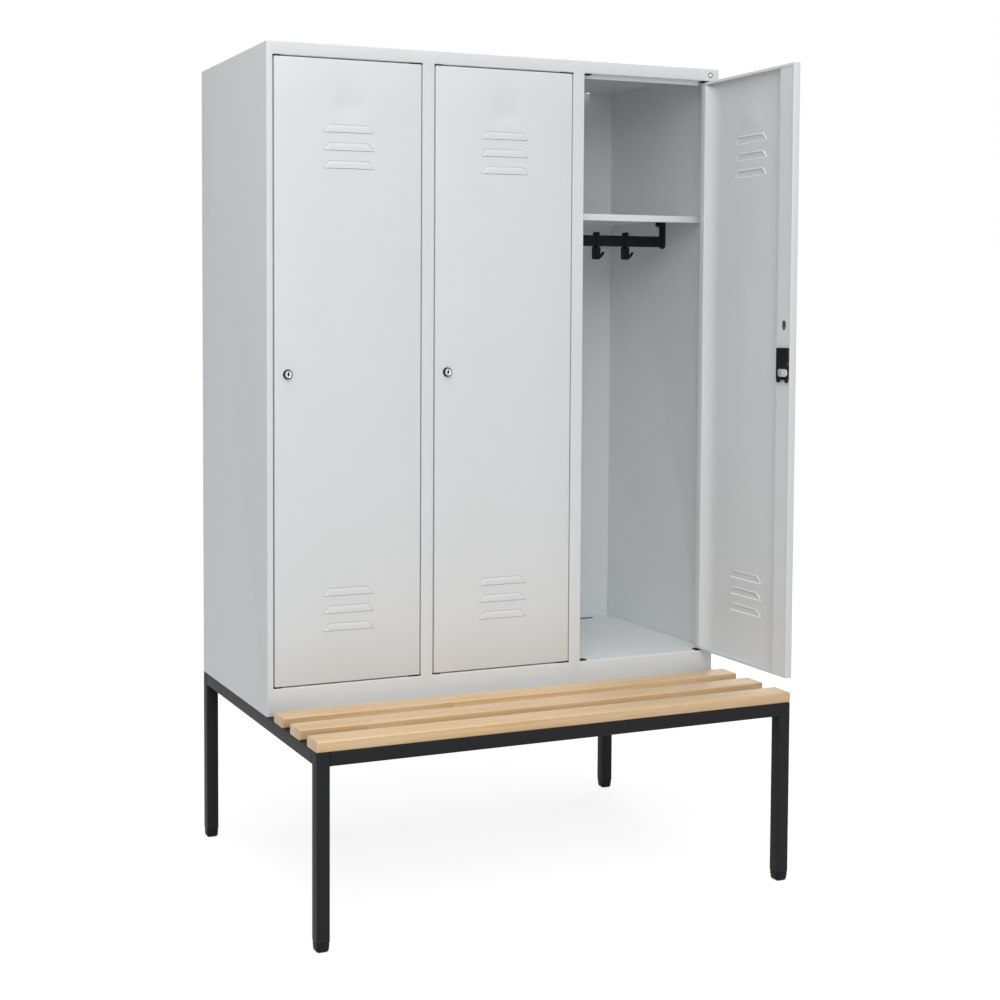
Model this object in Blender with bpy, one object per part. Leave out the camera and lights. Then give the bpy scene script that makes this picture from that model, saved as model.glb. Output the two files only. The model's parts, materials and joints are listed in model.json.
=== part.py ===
"""Three-bay steel locker on a tubular underframe with a slatted bench in front.

Sizes are in metres. X runs along the front from left to right, Y from the bench to the
back panel, and Z upwards from the floor. The right-hand door stands open at a right angle.
"""

import math

import bmesh
import bpy
from mathutils import Matrix, Vector

# Overall sizes
BAYS = ("left", "middle", "right")
BAY_PITCH = 0.400
LOCKER_DEPTH = 0.500
LOCKER_HEIGHT = 1.530
SEAT_PROJECTION = 0.315
FRAME_TOP = 0.428

# Gap between pieces that touch, and how far a cutting tool runs past what it cuts
SEAM = 0.0003
OVERRUN = 0.002

# Sheet steel: thickness, outer bend radius, and straight steps in each drawn bend
SHEET = 0.001
BEND = 0.002
BEND_STEPS = 3

# Front of the carcass
HEADER_FACE = 0.030
SILL_FACE = 0.064
STILE_FACE = 0.0155
MULLION_FACE = 0.031
FRONT_RETURN = 0.020
RETURN_LIP = 0.008
STOP_DROP = 0.011
STOP_CLEARANCE = 0.012
CORNER_NOTCH = 0.015
NOTCH_DEPTH = 0.024
REAR_RETURN = 0.015
PARTITION_FLANGE = 0.012
FLOOR_SLOT_LENGTH = 0.026
FLOOR_SLOT_WIDTH = 0.006
FLOOR_SLOT_SIDE = 0.095
FLOOR_SLOT_BACK = 0.030

# Shelf, coat rail, brackets and hooks
SHELF_LEVEL = 1.167
SHELF_SETBACK = 0.068
SHELF_LIP = 0.016
SHELF_BACK_GAP = 0.010
RAIL_LEVEL = 1.106
RAIL_SETBACK = 0.175
RAIL_HEIGHT = 0.028
RAIL_THICKNESS = 0.015
RAIL_SPAN = 0.318
RAIL_EDGE = 0.003
BRACKET_THICKNESS = 0.008
BRACKET_DEPTH = 0.020
GUSSET_REACH = 0.0115
GUSSET_DROP = 0.016
GUSSET_NOSE = 0.003
HOOK_SPACING = 0.086
HOOK_PLAY = 0.0006
CLIP_WIDTH = 0.018
CLIP_WALL = 0.003
CLIP_CROWN = 0.0065
HOOK_BODY_WIDTH = 0.023
HOOK_BODY_HEIGHT = 0.030
HOOK_BODY_DEPTH = 0.010
PRONG_WIDTH = 0.008
PRONG_THICKNESS = 0.0055
PRONG_RUN = 0.017
PRONG_REACH = 0.028
PRONG_RISE = 0.011
PRONG_BEND = 0.009
HOOK_EDGE = 0.0012

# Doors
DOOR_GAP = 0.003
DOOR_DEPTH = 0.018
HINGE_INSET = 0.010
HINGE_SETBACK = 0.008
HINGE_LIP = 0.017
HINGE_FLANK = 0.039
DOOR_LIP = 0.007
OPEN_ANGLES = {"left": 0.0, "middle": 0.0, "right": math.radians(90)}
PIN_DIAMETER = 0.006
PIN_COLLAR = 0.011
PIN_ENGAGE = 0.012
PIN_PLAY = 0.0004
STIFFENER_WIDTH = 0.053
STIFFENER_HOLE_WIDTH = 0.014
STIFFENER_HOLE_HEIGHT = 0.023
STIFFENER_HOLE_RISE = 0.110
STIFFENER_HOLE_INSET = 0.027
LOUVRE_COUNT = 3
LOUVRE_PITCH = 0.042
LOUVRE_WIDTH = 0.122
LOUVRE_TOP_WIDTH = 0.095
LOUVRE_NOSE_WIDTH = 0.112
LOUVRE_HEIGHT = 0.018
LOUVRE_RISE = 0.005
LOUVRE_FROM_TOP = 0.162
LOUVRE_FROM_BOTTOM = 0.121
CARD_WIDTH = 0.067
CARD_HEIGHT = 0.030
CARD_FROM_TOP = 0.093
CARD_RECESS = 0.0004

# Locks
LOCK_INSET = 0.0315
CASE_EDGE = 0.004
CASE_WIDTH = 0.041
CASE_ABOVE = 0.058
CASE_BELOW = 0.023
CASE_DEPTH = 0.010
CASE_ROUNDING = 0.0025
CASE_NOTCH_WIDTH = 0.020
CASE_NOTCH_HEIGHT = 0.006
SNOUT_DIAMETER = 0.024
SNOUT_PROUD = 0.008
SNOUT_EDGE = 0.002
BARREL_DIAMETER = 0.0165
BARREL_PLAY = 0.0004
BARREL_RECESS = 0.0008
BARREL_EDGE = 0.0008
KEYHOLE_HEIGHT = 0.011
KEYHOLE_WIDTH = 0.0042
KEYHOLE_DEPTH = 0.006
CAM_LENGTH = 0.035
CAM_WIDTH = 0.018
CAM_THICKNESS = 0.002
BOLT_LENGTH = 0.038
BOLT_HEIGHT = 0.014
BOLT_THICKNESS = 0.003
BOLT_RISE = 0.020
BOLT_SETBACK = 0.0022
BOLT_NOSE_INSET = 0.002
BOLT_PLAY = 0.0004

# Underframe and bench
TUBE = 0.030
TUBE_WALL = 0.0015
TUBE_EDGE = 0.0012
FOOT_HEIGHT = 0.022
FOOT_ROUNDING = 0.006
FOOT_WAIST = 0.0015
FOOT_WAIST_HEIGHT = 0.003
PLUG_HEIGHT = 0.018
SLAT_WIDTH = 0.060
SLAT_THICKNESS = 0.0245
SLAT_GAP = 0.045
SLAT_EDGE = 0.003

# Straight sides that stand for a circle
PIN_SIDES = 12
LOCK_SIDES = 24
HOLE_SIDES = 16
ARM_STEPS = 8

# Values worked out from the sizes above
WIDTH = BAY_PITCH * len(BAYS)
LEFT = -WIDTH / 2
RIGHT = WIDTH / 2
OPENING = BAY_PITCH - MULLION_FACE
DOOR_WIDTH = OPENING - 2 * DOOR_GAP
DOOR_REACH = DOOR_WIDTH - HINGE_INSET
FRONTMOST = min(-SEAT_PROJECTION, HINGE_SETBACK - DOOR_REACH)
FRONT = -(LOCKER_DEPTH + FRONTMOST) / 2
BACK = FRONT + LOCKER_DEPTH
SEAT_FRONT = FRONT - SEAT_PROJECTION
BASE = FRAME_TOP + SEAM
TOP = BASE + LOCKER_HEIGHT
UNDER_ROOF = TOP - SHEET - SEAM
FLOOR_LEVEL = BASE + SILL_FACE
LINTEL = TOP - HEADER_FACE
RETURN_BACK = FRONT + FRONT_RETURN
BACK_FACE = BACK - 2 * SHEET - SEAM
DOOR_BOTTOM = FLOOR_LEVEL + DOOR_GAP
DOOR_TOP = LINTEL - DOOR_GAP
DOOR_MIDDLE = (DOOR_BOTTOM + DOOR_TOP) / 2
HINGE_Y = FRONT + HINGE_SETBACK
FACE_Y = -HINGE_SETBACK
REAR_Y = DOOR_DEPTH - HINGE_SETBACK
HINGE_EDGE = HINGE_INSET
FREE_EDGE = HINGE_INSET - DOOR_WIDTH
LOCK_X = FREE_EDGE + LOCK_INSET


def bay_left(index):
    """Where a bay starts: the outside of the carcass, or the middle of a mullion."""
    return LEFT + index * BAY_PITCH


def hinge_x(index):
    """The upright axis that a bay's door turns on."""
    opening_right = bay_left(index) + MULLION_FACE / 2 + OPENING
    return opening_right - DOOR_GAP - HINGE_INSET


def walls(index):
    """The inner faces of the two sheets that a bay lies between."""
    left_wall = LEFT + SHEET if index == 0 else bay_left(index)
    right_wall = (RIGHT if index == len(BAYS) - 1 else bay_left(index + 1)) - SHEET
    return left_wall, right_wall


# Modelling helpers

def left_of(direction):
    return Vector((-direction.y, direction.x))


def strip_outline(path, thickness, bend=BEND, steps=BEND_STEPS):
    """Outline of a bent strip. The path is one side of it, with a fillet at each corner,
    and the metal lies left of the path, or right of it where the thickness is negative."""
    corners = [Vector(corner) for corner in path]
    side = [(corners[0], left_of((corners[1] - corners[0]).normalized()))]
    for before, corner, after in zip(corners, corners[1:], corners[2:]):
        heading = (corner - before).normalized()
        leaving = (after - corner).normalized()
        turn = math.atan2(heading.cross(leaving), heading.dot(leaving))
        radius = math.copysign(bend, turn)
        start = corner - heading * bend * math.tan(abs(turn) / 2)
        centre = start + left_of(heading) * radius
        for step in range(steps + 1):
            normal = Matrix.Rotation(turn * step / steps, 2) @ left_of(heading)
            side.append((centre - normal * radius, normal))
    side.append((corners[-1], left_of((corners[-1] - corners[-2]).normalized())))
    near = [point for point, normal in side]
    far = [point + normal * thickness for point, normal in side]
    return near + far[::-1]


def in_space(axis, first, second, along):
    """A point from its place along an axis and in the plane across that axis."""
    return {"x": (along, first, second), "y": (first, along, second), "z": (first, second, along)}[axis]


def prism(bm, outline, axis, start, end):
    """Extrude a flat outline along an axis, from start to end."""
    face = bm.faces.new([bm.verts.new(in_space(axis, a, b, start)) for a, b in outline])
    grown = bmesh.ops.extrude_face_region(bm, geom=[face])["geom"]
    moved = [item for item in grown if isinstance(item, bmesh.types.BMVert)]
    bmesh.ops.translate(bm, vec=in_space(axis, 0, 0, end - start), verts=moved)


def block(bm, low, high):
    """A box between two opposite corners."""
    low, high = Vector(low), Vector(high)
    place = Matrix.Translation((low + high) / 2) @ Matrix.Diagonal((high - low).to_4d())
    return bmesh.ops.create_cube(bm, size=1, matrix=place)["verts"]


def edges_of(verts):
    return list({edge for vert in verts for edge in vert.link_edges})


def soften(bm, edges, width, segments=2):
    bmesh.ops.bevel(bm, geom=edges, offset=width, segments=segments, profile=0.5,
                    affect="EDGES", material=-1)


def rod(bm, axis, first, second, start, end, diameter, sides):
    """A cylinder along an axis through one point of the plane across it."""
    turn = {"x": Matrix.Rotation(math.pi / 2, 4, "Y"), "y": Matrix.Rotation(math.pi / 2, 4, "X"),
            "z": Matrix.Identity(4)}[axis]
    place = Matrix.Translation(in_space(axis, first, second, (start + end) / 2)) @ turn
    made = bmesh.ops.create_cone(bm, cap_ends=True, segments=sides, radius1=diameter / 2,
                                 radius2=diameter / 2, depth=abs(end - start), matrix=place)
    return made["verts"]


def stadium(centre_a, centre_b, length, width, steps=6):
    """Outline of a slot with round ends, its length along the first of its two axes."""
    half_run = (length - width) / 2
    outline = []
    for side in (1, -1):
        for step in range(steps + 1):
            angle = math.pi * (step / steps - 0.5)
            outline.append((centre_a + side * (half_run + math.cos(angle) * width / 2),
                            centre_b + side * math.sin(angle) * width / 2))
    return outline


def mesh_from(bm, name):
    bmesh.ops.recalc_face_normals(bm, faces=bm.faces)
    mesh = bpy.data.meshes.new(name)
    bm.to_mesh(mesh)
    bm.free()
    return mesh


def carved(name, base, joined=None, cut=None):
    """Join one tool to a shape and cut another from it, with Boolean modifiers, and give
    the mesh that results. The tools may each be several bodies that don't touch."""
    body = bpy.data.objects.new(name, mesh_from(base, name))
    bpy.context.collection.objects.link(body)
    tools = []
    for operation, bm in (("UNION", joined), ("DIFFERENCE", cut)):
        if bm is None:
            continue
        tool = bpy.data.objects.new(name + "_tool", mesh_from(bm, name + "_tool"))
        bpy.context.collection.objects.link(tool)
        tools.append(tool)
        modifier = body.modifiers.new(operation.title(), "BOOLEAN")
        modifier.operation = operation
        modifier.solver = "EXACT"
        modifier.object = tool
    depsgraph = bpy.context.evaluated_depsgraph_get()
    mesh = bpy.data.meshes.new_from_object(body.evaluated_get(depsgraph))
    mesh.name = name
    for helper in [body] + tools:
        bpy.data.objects.remove(helper)
    return mesh


def material(name, colour, roughness, metallic=0.0):
    made = bpy.data.materials.new(name)
    made.use_nodes = True
    shader = made.node_tree.nodes["Principled BSDF"]
    shader.inputs["Base Color"].default_value = (*colour, 1)
    shader.inputs["Roughness"].default_value = roughness
    shader.inputs["Metallic"].default_value = metallic
    return made


def add(name, shape, finish, parent=None, location=(0, 0, 0)):
    """Make the named object of one sub-part from a bmesh or a mesh."""
    mesh = shape if isinstance(shape, bpy.types.Mesh) else mesh_from(shape, name)
    mesh.materials.clear()
    mesh.materials.append(finish)
    mesh.shade_smooth()
    mesh.set_sharp_from_angle(angle=math.radians(35))
    made = bpy.data.objects.new(name, mesh)
    made.parent = parent
    made.location = location
    bpy.context.collection.objects.link(made)
    return made


# Underframe: four posts with feet, five rails and three slats

def add_posts(steel, plastic):
    rows = {"front": SEAT_FRONT, "rear": BACK - TUBE}
    columns = {"left": LEFT, "right": RIGHT - TUBE}
    for row, y in rows.items():
        for column, x in columns.items():
            bm = bmesh.new()
            verts = block(bm, (x, y, FOOT_HEIGHT + SEAM), (x + TUBE, y + TUBE, FRAME_TOP))
            upright = [edge for edge in edges_of(verts)
                       if abs(edge.verts[0].co.z - edge.verts[1].co.z) > TUBE]
            soften(bm, upright, TUBE_EDGE)
            hollow = bmesh.new()
            block(hollow, (x + TUBE_WALL, y + TUBE_WALL, FOOT_HEIGHT - OVERRUN),
                  (x + TUBE - TUBE_WALL, y + TUBE - TUBE_WALL, FRAME_TOP - TUBE_WALL))
            name = f"leg_{row}_{column}"
            add(name, carved(name, bm, cut=hollow), steel)
            add_foot(f"foot_{row}_{column}", x, y, plastic)


def add_foot(name, x, y, plastic):
    """A moulded cap: a rounded pad under the post, a shallow waist, and a plug inside."""
    bm = bmesh.new()
    pad_top = FOOT_HEIGHT - FOOT_WAIST_HEIGHT
    verts = block(bm, (x, y, 0), (x + TUBE, y + TUBE, pad_top))
    low_edges = [edge for edge in edges_of(verts)
                 if max(vert.co.z for vert in edge.verts) < pad_top / 2]
    soften(bm, low_edges, FOOT_ROUNDING, segments=3)
    neck = bmesh.new()
    block(neck, (x + FOOT_WAIST, y + FOOT_WAIST, pad_top - OVERRUN),
          (x + TUBE - FOOT_WAIST, y + TUBE - FOOT_WAIST, FOOT_HEIGHT))
    inside = TUBE_WALL + SEAM
    plug = bmesh.new()
    block(plug, (x + inside, y + inside, FOOT_HEIGHT - OVERRUN),
          (x + TUBE - inside, y + TUBE - inside, FOOT_HEIGHT + PLUG_HEIGHT))
    collared = carved(name + "_pad", bm, joined=neck)
    base = bmesh.new()
    base.from_mesh(collared)
    add(name, carved(name, base, joined=plug), plastic)


def add_rail(name, axis, across, start, end, steel):
    """A square tube whose top is level with the frame's top and whose ends butt."""
    bm = bmesh.new()
    low = FRAME_TOP - TUBE
    corners = {"x": ((start + SEAM, across, low), (end - SEAM, across + TUBE, FRAME_TOP)),
               "y": ((across, start + SEAM, low), (across + TUBE, end - SEAM, FRAME_TOP))}
    verts = block(bm, *corners[axis])
    index = "xyz".index(axis)
    long_edges = [edge for edge in edges_of(verts)
                  if abs(edge.verts[0].co[index] - edge.verts[1].co[index]) > TUBE]
    soften(bm, long_edges, TUBE_EDGE)
    bore = bmesh.new()
    near = across + TUBE_WALL
    far = across + TUBE - TUBE_WALL
    bottom = low + TUBE_WALL
    ceiling = FRAME_TOP - TUBE_WALL
    bores = {"x": ((start - OVERRUN, near, bottom), (end + OVERRUN, far, ceiling)),
             "y": ((near, start - OVERRUN, bottom), (far, end + OVERRUN, ceiling))}
    block(bore, *bores[axis])
    add(name, carved(name, bm, cut=bore), steel)


def add_slats(wood):
    for index, name in enumerate(("front", "middle", "rear")):
        y = SEAT_FRONT + index * (SLAT_WIDTH + SLAT_GAP)
        bm = bmesh.new()
        verts = block(bm, (LEFT, y, FRAME_TOP + SEAM),
                      (RIGHT, y + SLAT_WIDTH, FRAME_TOP + SEAM + SLAT_THICKNESS))
        soften(bm, edges_of(verts), SLAT_EDGE)
        add(f"slat_{name}", bm, wood)


# Carcass: side panels, back, top, floor, partitions and the front's rails and uprights

def add_side_panels(paint):
    for name, x, inward in (("left", LEFT, 1), ("right", RIGHT, -1)):
        stile = x + inward * STILE_FACE
        path = ((stile - inward * RETURN_LIP, RETURN_BACK), (stile, RETURN_BACK), (stile, FRONT),
                (x, FRONT), (x, BACK), (x + inward * REAR_RETURN, BACK))
        bm = bmesh.new()
        prism(bm, strip_outline(path, -inward * SHEET), "z", BASE, UNDER_ROOF)
        add(f"side_panel_{name}", bm, paint)


def add_flat_panels(paint):
    bm = bmesh.new()
    block(bm, (LEFT + BEND + SEAM, BACK_FACE, BASE),
          (RIGHT - BEND - SEAM, BACK_FACE + SHEET, UNDER_ROOF))
    add("back_panel", bm, paint)
    bm = bmesh.new()
    block(bm, (LEFT, FRONT, TOP - SHEET), (RIGHT, BACK, TOP))
    add("top_panel", bm, paint)


def add_floor(paint):
    """An inverted channel that stands on the side rails, with a slot near each bay's back."""
    near = LEFT + SHEET + SEAM
    far = RIGHT - SHEET - SEAM
    path = ((near, BASE), (near, FLOOR_LEVEL), (far, FLOOR_LEVEL), (far, BASE))
    bm = bmesh.new()
    prism(bm, strip_outline(path, -SHEET), "y", RETURN_BACK + SEAM, BACK_FACE - SEAM)
    slots = bmesh.new()
    for index in range(len(BAYS)):
        x = bay_left(index) + BAY_PITCH - FLOOR_SLOT_SIDE
        y = BACK_FACE - FLOOR_SLOT_BACK
        outline = stadium(x, y, FLOOR_SLOT_LENGTH, FLOOR_SLOT_WIDTH)
        prism(slots, outline, "z", FLOOR_LEVEL - SHEET - OVERRUN, FLOOR_LEVEL + OVERRUN)
    add("floor_panel", carved("floor_panel", bm, cut=slots), paint)


def add_partitions_and_mullions(paint):
    half = MULLION_FACE / 2
    for index, name in ((1, "left"), (2, "right")):
        x = bay_left(index)
        front = RETURN_BACK + SHEET + SEAM
        rear = BACK_FACE - SEAM - SHEET
        path = ((x - PARTITION_FLANGE, front), (x, front), (x, rear), (x + PARTITION_FLANGE, rear))
        bm = bmesh.new()
        prism(bm, strip_outline(path, SHEET), "z", FLOOR_LEVEL + SEAM, UNDER_ROOF)
        add(f"partition_{name}", bm, paint)
        path = ((x - half + RETURN_LIP, RETURN_BACK), (x - half, RETURN_BACK), (x - half, FRONT),
                (x + half, FRONT), (x + half, RETURN_BACK), (x + half - RETURN_LIP, RETURN_BACK))
        bm = bmesh.new()
        prism(bm, strip_outline(path, SHEET), "z", FLOOR_LEVEL + SEAM, LINTEL - SEAM)
        add(f"mullion_{name}", bm, paint)


def corner_cuts(low, high):
    """Notches in the front's returns, at the latch-side corner of each opening."""
    cuts = bmesh.new()
    for index in range(len(BAYS)):
        start = bay_left(index) + MULLION_FACE / 2 + SEAM
        block(cuts, (start, FRONT + BEND + SEAM, low),
              (start + CORNER_NOTCH, FRONT + NOTCH_DEPTH, high))
    return cuts


def add_pin_holes(cuts, level):
    for index in range(len(BAYS)):
        rod(cuts, "z", hinge_x(index), HINGE_Y, level - SHEET - OVERRUN, level + SHEET + OVERRUN,
            PIN_DIAMETER + 2 * PIN_PLAY, HOLE_SIDES)


def add_header_and_sill(paint):
    start = LEFT + STILE_FACE + SEAM
    end = RIGHT - STILE_FACE - SEAM
    path = ((RETURN_BACK, UNDER_ROOF), (FRONT, UNDER_ROOF), (FRONT, LINTEL),
            (RETURN_BACK, LINTEL), (RETURN_BACK, LINTEL - STOP_DROP))
    bm = bmesh.new()
    prism(bm, strip_outline(path, SHEET), "x", start, end)
    clearance = bmesh.new()
    for index in range(len(BAYS)):
        last = index == len(BAYS) - 1
        far = end + OVERRUN if last else bay_left(index + 1) + MULLION_FACE / 2 + BEND
        block(clearance, (hinge_x(index) - STOP_CLEARANCE, RETURN_BACK - BEND - SEAM,
                          LINTEL - STOP_DROP - OVERRUN),
              (far, FRONT + NOTCH_DEPTH, LINTEL + SHEET + OVERRUN))
    stopped = bmesh.new()
    stopped.from_mesh(carved("door_stops", bm, cut=clearance))
    cuts = corner_cuts(LINTEL - STOP_DROP - OVERRUN, LINTEL + SHEET + OVERRUN)
    add_pin_holes(cuts, LINTEL)
    add("header", carved("header", stopped, cut=cuts), paint)

    path = ((RETURN_BACK, BASE), (FRONT, BASE), (FRONT, FLOOR_LEVEL), (RETURN_BACK, FLOOR_LEVEL))
    bm = bmesh.new()
    prism(bm, strip_outline(path, -SHEET), "x", start, end)
    cuts = corner_cuts(FLOOR_LEVEL - SHEET - OVERRUN, FLOOR_LEVEL + OVERRUN)
    add_pin_holes(cuts, FLOOR_LEVEL)
    add("sill", carved("sill", bm, cut=cuts), paint)


# Inside each bay: a shelf, and a coat rail under it on two brackets with two hooks

def add_shelf(name, index, paint):
    near, far = walls(index)
    top = BASE + SHELF_LEVEL
    low = (near + SEAM, FRONT + SHELF_SETBACK, top - SHELF_LIP)
    high = (far - SEAM, BACK_FACE - SHELF_BACK_GAP, top)
    bm = bmesh.new()
    block(bm, low, high)
    hollow = bmesh.new()
    block(hollow, (low[0] + SHEET, low[1] + SHEET, low[2] - OVERRUN),
          (high[0] - SHEET, high[1] - SHEET, top - SHEET))
    add(f"shelf_{name}", carved("shelf", bm, cut=hollow), paint)


def add_coat_rail(name, index, plastic):
    """One moulding: a bar with an arm at each end, hung by pads from the shelf."""
    middle = sum(walls(index)) / 2
    y = FRONT + RAIL_SETBACK
    z = BASE + RAIL_LEVEL
    reach = RAIL_SPAN / 2 - BRACKET_THICKNESS / 2
    bar = bmesh.new()
    verts = block(bar, (middle - reach, y - RAIL_THICKNESS / 2, z - RAIL_HEIGHT / 2 + SEAM),
                  (middle + reach, y + RAIL_THICKNESS / 2, z + RAIL_HEIGHT / 2))
    long_edges = [edge for edge in edges_of(verts)
                  if abs(edge.verts[0].co.x - edge.verts[1].co.x) > reach]
    soften(bar, long_edges, RAIL_EDGE)

    ceiling = BASE + SHELF_LEVEL - SHEET - SEAM
    bottom = z - RAIL_HEIGHT / 2
    half_arm = BRACKET_DEPTH / 2
    turns = [math.pi * (step / ARM_STEPS - 0.5) for step in range(ARM_STEPS + 1)]
    outline = [(y + math.sin(turn) * half_arm, bottom + (1 - math.cos(turn)) * half_arm)
               for turn in turns]
    outline += [(y + half_arm, ceiling - SEAM), (y - half_arm, ceiling - SEAM)]
    arms = bmesh.new()
    for side in (-1, 1):
        outer = middle + side * RAIL_SPAN / 2
        inner = outer - side * BRACKET_THICKNESS
        prism(arms, outline, "x", inner, outer)
    with_arms = bmesh.new()
    with_arms.from_mesh(carved("rail_arms", bar, joined=arms))
    gussets = bmesh.new()
    for side in (-1, 1):
        outer = middle + side * (RAIL_SPAN / 2 - SEAM)
        inner = middle + side * (RAIL_SPAN / 2 - BRACKET_THICKNESS)
        nose = inner - side * GUSSET_REACH
        outline = ((outer, ceiling), (nose, ceiling), (nose, ceiling - GUSSET_NOSE),
                   (inner, ceiling - GUSSET_DROP), (outer, ceiling - GUSSET_DROP))
        prism(gussets, outline, "y", y - half_arm + SEAM, y + half_arm - SEAM)
    add(f"coat_rail_{name}", carved("coat_rail", with_arms, joined=gussets), plastic)


def hook_mesh():
    """A clip round the rail, a block under it and a curved prong, about the rail's middle."""
    half_depth = RAIL_THICKNESS / 2 + HOOK_PLAY
    half_height = RAIL_HEIGHT / 2 + HOOK_PLAY
    clip = bmesh.new()
    verts = block(clip, (-CLIP_WIDTH / 2, -half_depth - CLIP_WALL, -half_height - CLIP_WALL),
                  (CLIP_WIDTH / 2, half_depth + CLIP_WALL, half_height + CLIP_CROWN))
    soften(clip, edges_of(verts), HOOK_EDGE, segments=1)
    foot = -half_height - CLIP_WALL - HOOK_BODY_HEIGHT
    body = bmesh.new()
    verts = block(body, (-HOOK_BODY_WIDTH / 2, -HOOK_BODY_DEPTH / 2, foot),
                  (HOOK_BODY_WIDTH / 2, HOOK_BODY_DEPTH / 2, -half_height - CLIP_WALL / 2))
    soften(body, edges_of(verts), HOOK_EDGE, segments=1)
    hung = bmesh.new()
    hung.from_mesh(carved("hook_body", clip, joined=body))
    low = foot + HOOK_EDGE
    path = ((0, low), (-PRONG_RUN, low), (-PRONG_REACH, low + PRONG_RISE))
    prong = bmesh.new()
    prism(prong, strip_outline(path, -PRONG_THICKNESS, bend=PRONG_BEND, steps=4), "x",
          -PRONG_WIDTH / 2, PRONG_WIDTH / 2)
    hole = bmesh.new()
    block(hole, (-CLIP_WIDTH / 2 - OVERRUN, -half_depth, -half_height),
          (CLIP_WIDTH / 2 + OVERRUN, half_depth, half_height))
    return carved("coat_hook", hung, joined=prong, cut=hole)


# Doors, built closed about their hinge axis

def louvre(bm, bottom, margin):
    """One pressed hood: its upper edge lies on the sheet and its lower edge stands out.
    A margin draws the same form smaller and longer, to cut the hood hollow and open."""
    centre = (FREE_EDGE + HINGE_EDGE) / 2
    root = FACE_Y + SHEET / 2 if margin == 0 else FACE_Y + SHEET + OVERRUN
    skin = FACE_Y
    low = bottom if margin == 0 else bottom - OVERRUN
    high = bottom + LOUVRE_HEIGHT - margin
    nose = FACE_Y - LOUVRE_RISE + margin
    half_low = LOUVRE_WIDTH / 2 - margin
    half_high = LOUVRE_TOP_WIDTH / 2 - margin
    half_nose = LOUVRE_NOSE_WIDTH / 2 - margin
    rings = [[(centre - half_low, root, low), (centre + half_low, root, low),
              (centre + half_high, root, high), (centre - half_high, root, high)],
             [(centre - half_low, skin, low), (centre + half_low, skin, low),
              (centre + half_high, skin, high), (centre - half_high, skin, high)],
             [(centre - half_nose, nose, low), (centre + half_nose, nose, low)]]
    verts = [bm.verts.new(point) for ring in rings for point in ring]
    for face in ((0, 1, 2, 3), (0, 4, 5, 1), (1, 5, 6, 2), (2, 6, 7, 3), (3, 7, 4, 0),
                 (4, 8, 9, 5), (5, 9, 6), (6, 9, 8, 7), (7, 8, 4)):
        bm.faces.new([verts[corner] for corner in face])


def louvre_levels():
    from_top = [DOOR_TOP - LOUVRE_FROM_TOP - index * LOUVRE_PITCH for index in range(LOUVRE_COUNT)]
    from_bottom = [DOOR_BOTTOM + LOUVRE_FROM_BOTTOM + index * LOUVRE_PITCH
                   for index in range(LOUVRE_COUNT)]
    return from_top + from_bottom


def door_mesh():
    """A folded tray: a free edge, a boxed hinge edge with a slanted flank, and lipped ends."""
    path = ((FREE_EDGE, REAR_Y), (FREE_EDGE, FACE_Y), (HINGE_EDGE, FACE_Y), (HINGE_EDGE, REAR_Y),
            (HINGE_EDGE - HINGE_LIP, REAR_Y),
            (HINGE_EDGE - HINGE_LIP - HINGE_FLANK, FACE_Y + 2 * SHEET + 2 * SEAM))
    tray = bmesh.new()
    prism(tray, strip_outline(path, SHEET), "z", DOOR_BOTTOM, DOOR_TOP)
    ends = bmesh.new()
    middle = SHEET / 2
    for level, inward in ((DOOR_BOTTOM + SEAM, 1), (DOOR_TOP - SEAM, -1)):
        outline = strip_outline(((FACE_Y + middle, level), (REAR_Y - SEAM, level),
                                 (REAR_Y - SEAM, level + inward * DOOR_LIP)), inward * SHEET)
        prism(ends, outline, "x", FREE_EDGE + middle, HINGE_EDGE - middle)
    for bottom in louvre_levels():
        louvre(ends, bottom, 0)
    cuts = bmesh.new()
    for bottom in louvre_levels():
        louvre(cuts, bottom, SHEET)
    rod(cuts, "y", LOCK_X, DOOR_MIDDLE, FACE_Y - OVERRUN, FACE_Y + SHEET + OVERRUN,
        SNOUT_DIAMETER + 2 * SEAM, LOCK_SIDES)
    for level in (DOOR_BOTTOM, DOOR_TOP):
        rod(cuts, "z", 0, 0, level - SHEET - OVERRUN, level + SHEET + OVERRUN,
            PIN_DIAMETER + 2 * SEAM, HOLE_SIDES)
    centre = (FREE_EDGE + HINGE_EDGE) / 2
    card_top = DOOR_TOP - CARD_FROM_TOP
    block(cuts, (centre - CARD_WIDTH / 2, FACE_Y - OVERRUN, card_top - CARD_HEIGHT),
          (centre + CARD_WIDTH / 2, FACE_Y + CARD_RECESS, card_top))
    return carved("door", tray, joined=ends, cut=cuts)


def stiffener_mesh():
    """A channel behind the lock-side edge, open towards the door's sheet."""
    near = FREE_EDGE + BEND + SEAM
    far = FREE_EDGE + STIFFENER_WIDTH
    front = FACE_Y + SHEET + SEAM
    rear = REAR_Y - SHEET - 2 * SEAM
    path = ((near, front), (near, rear), (far, rear), (far, front))
    channel = bmesh.new()
    clear = BEND + 2 * SEAM
    prism(channel, strip_outline(path, -SHEET), "z", DOOR_BOTTOM + clear, DOOR_TOP - clear)
    cuts = bmesh.new()
    rod(cuts, "y", LOCK_X, DOOR_MIDDLE, rear - SHEET - OVERRUN, rear + OVERRUN,
        SNOUT_DIAMETER + 2 * SEAM, LOCK_SIDES)
    hole = stadium(0, 0, STIFFENER_HOLE_HEIGHT, STIFFENER_HOLE_WIDTH)
    upright = [(far - STIFFENER_HOLE_INSET + b, DOOR_MIDDLE + STIFFENER_HOLE_RISE + a) for a, b in hole]
    prism(cuts, upright, "y", rear - SHEET - OVERRUN, rear + OVERRUN)
    return carved("door_stiffener", channel, cut=cuts)


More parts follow.
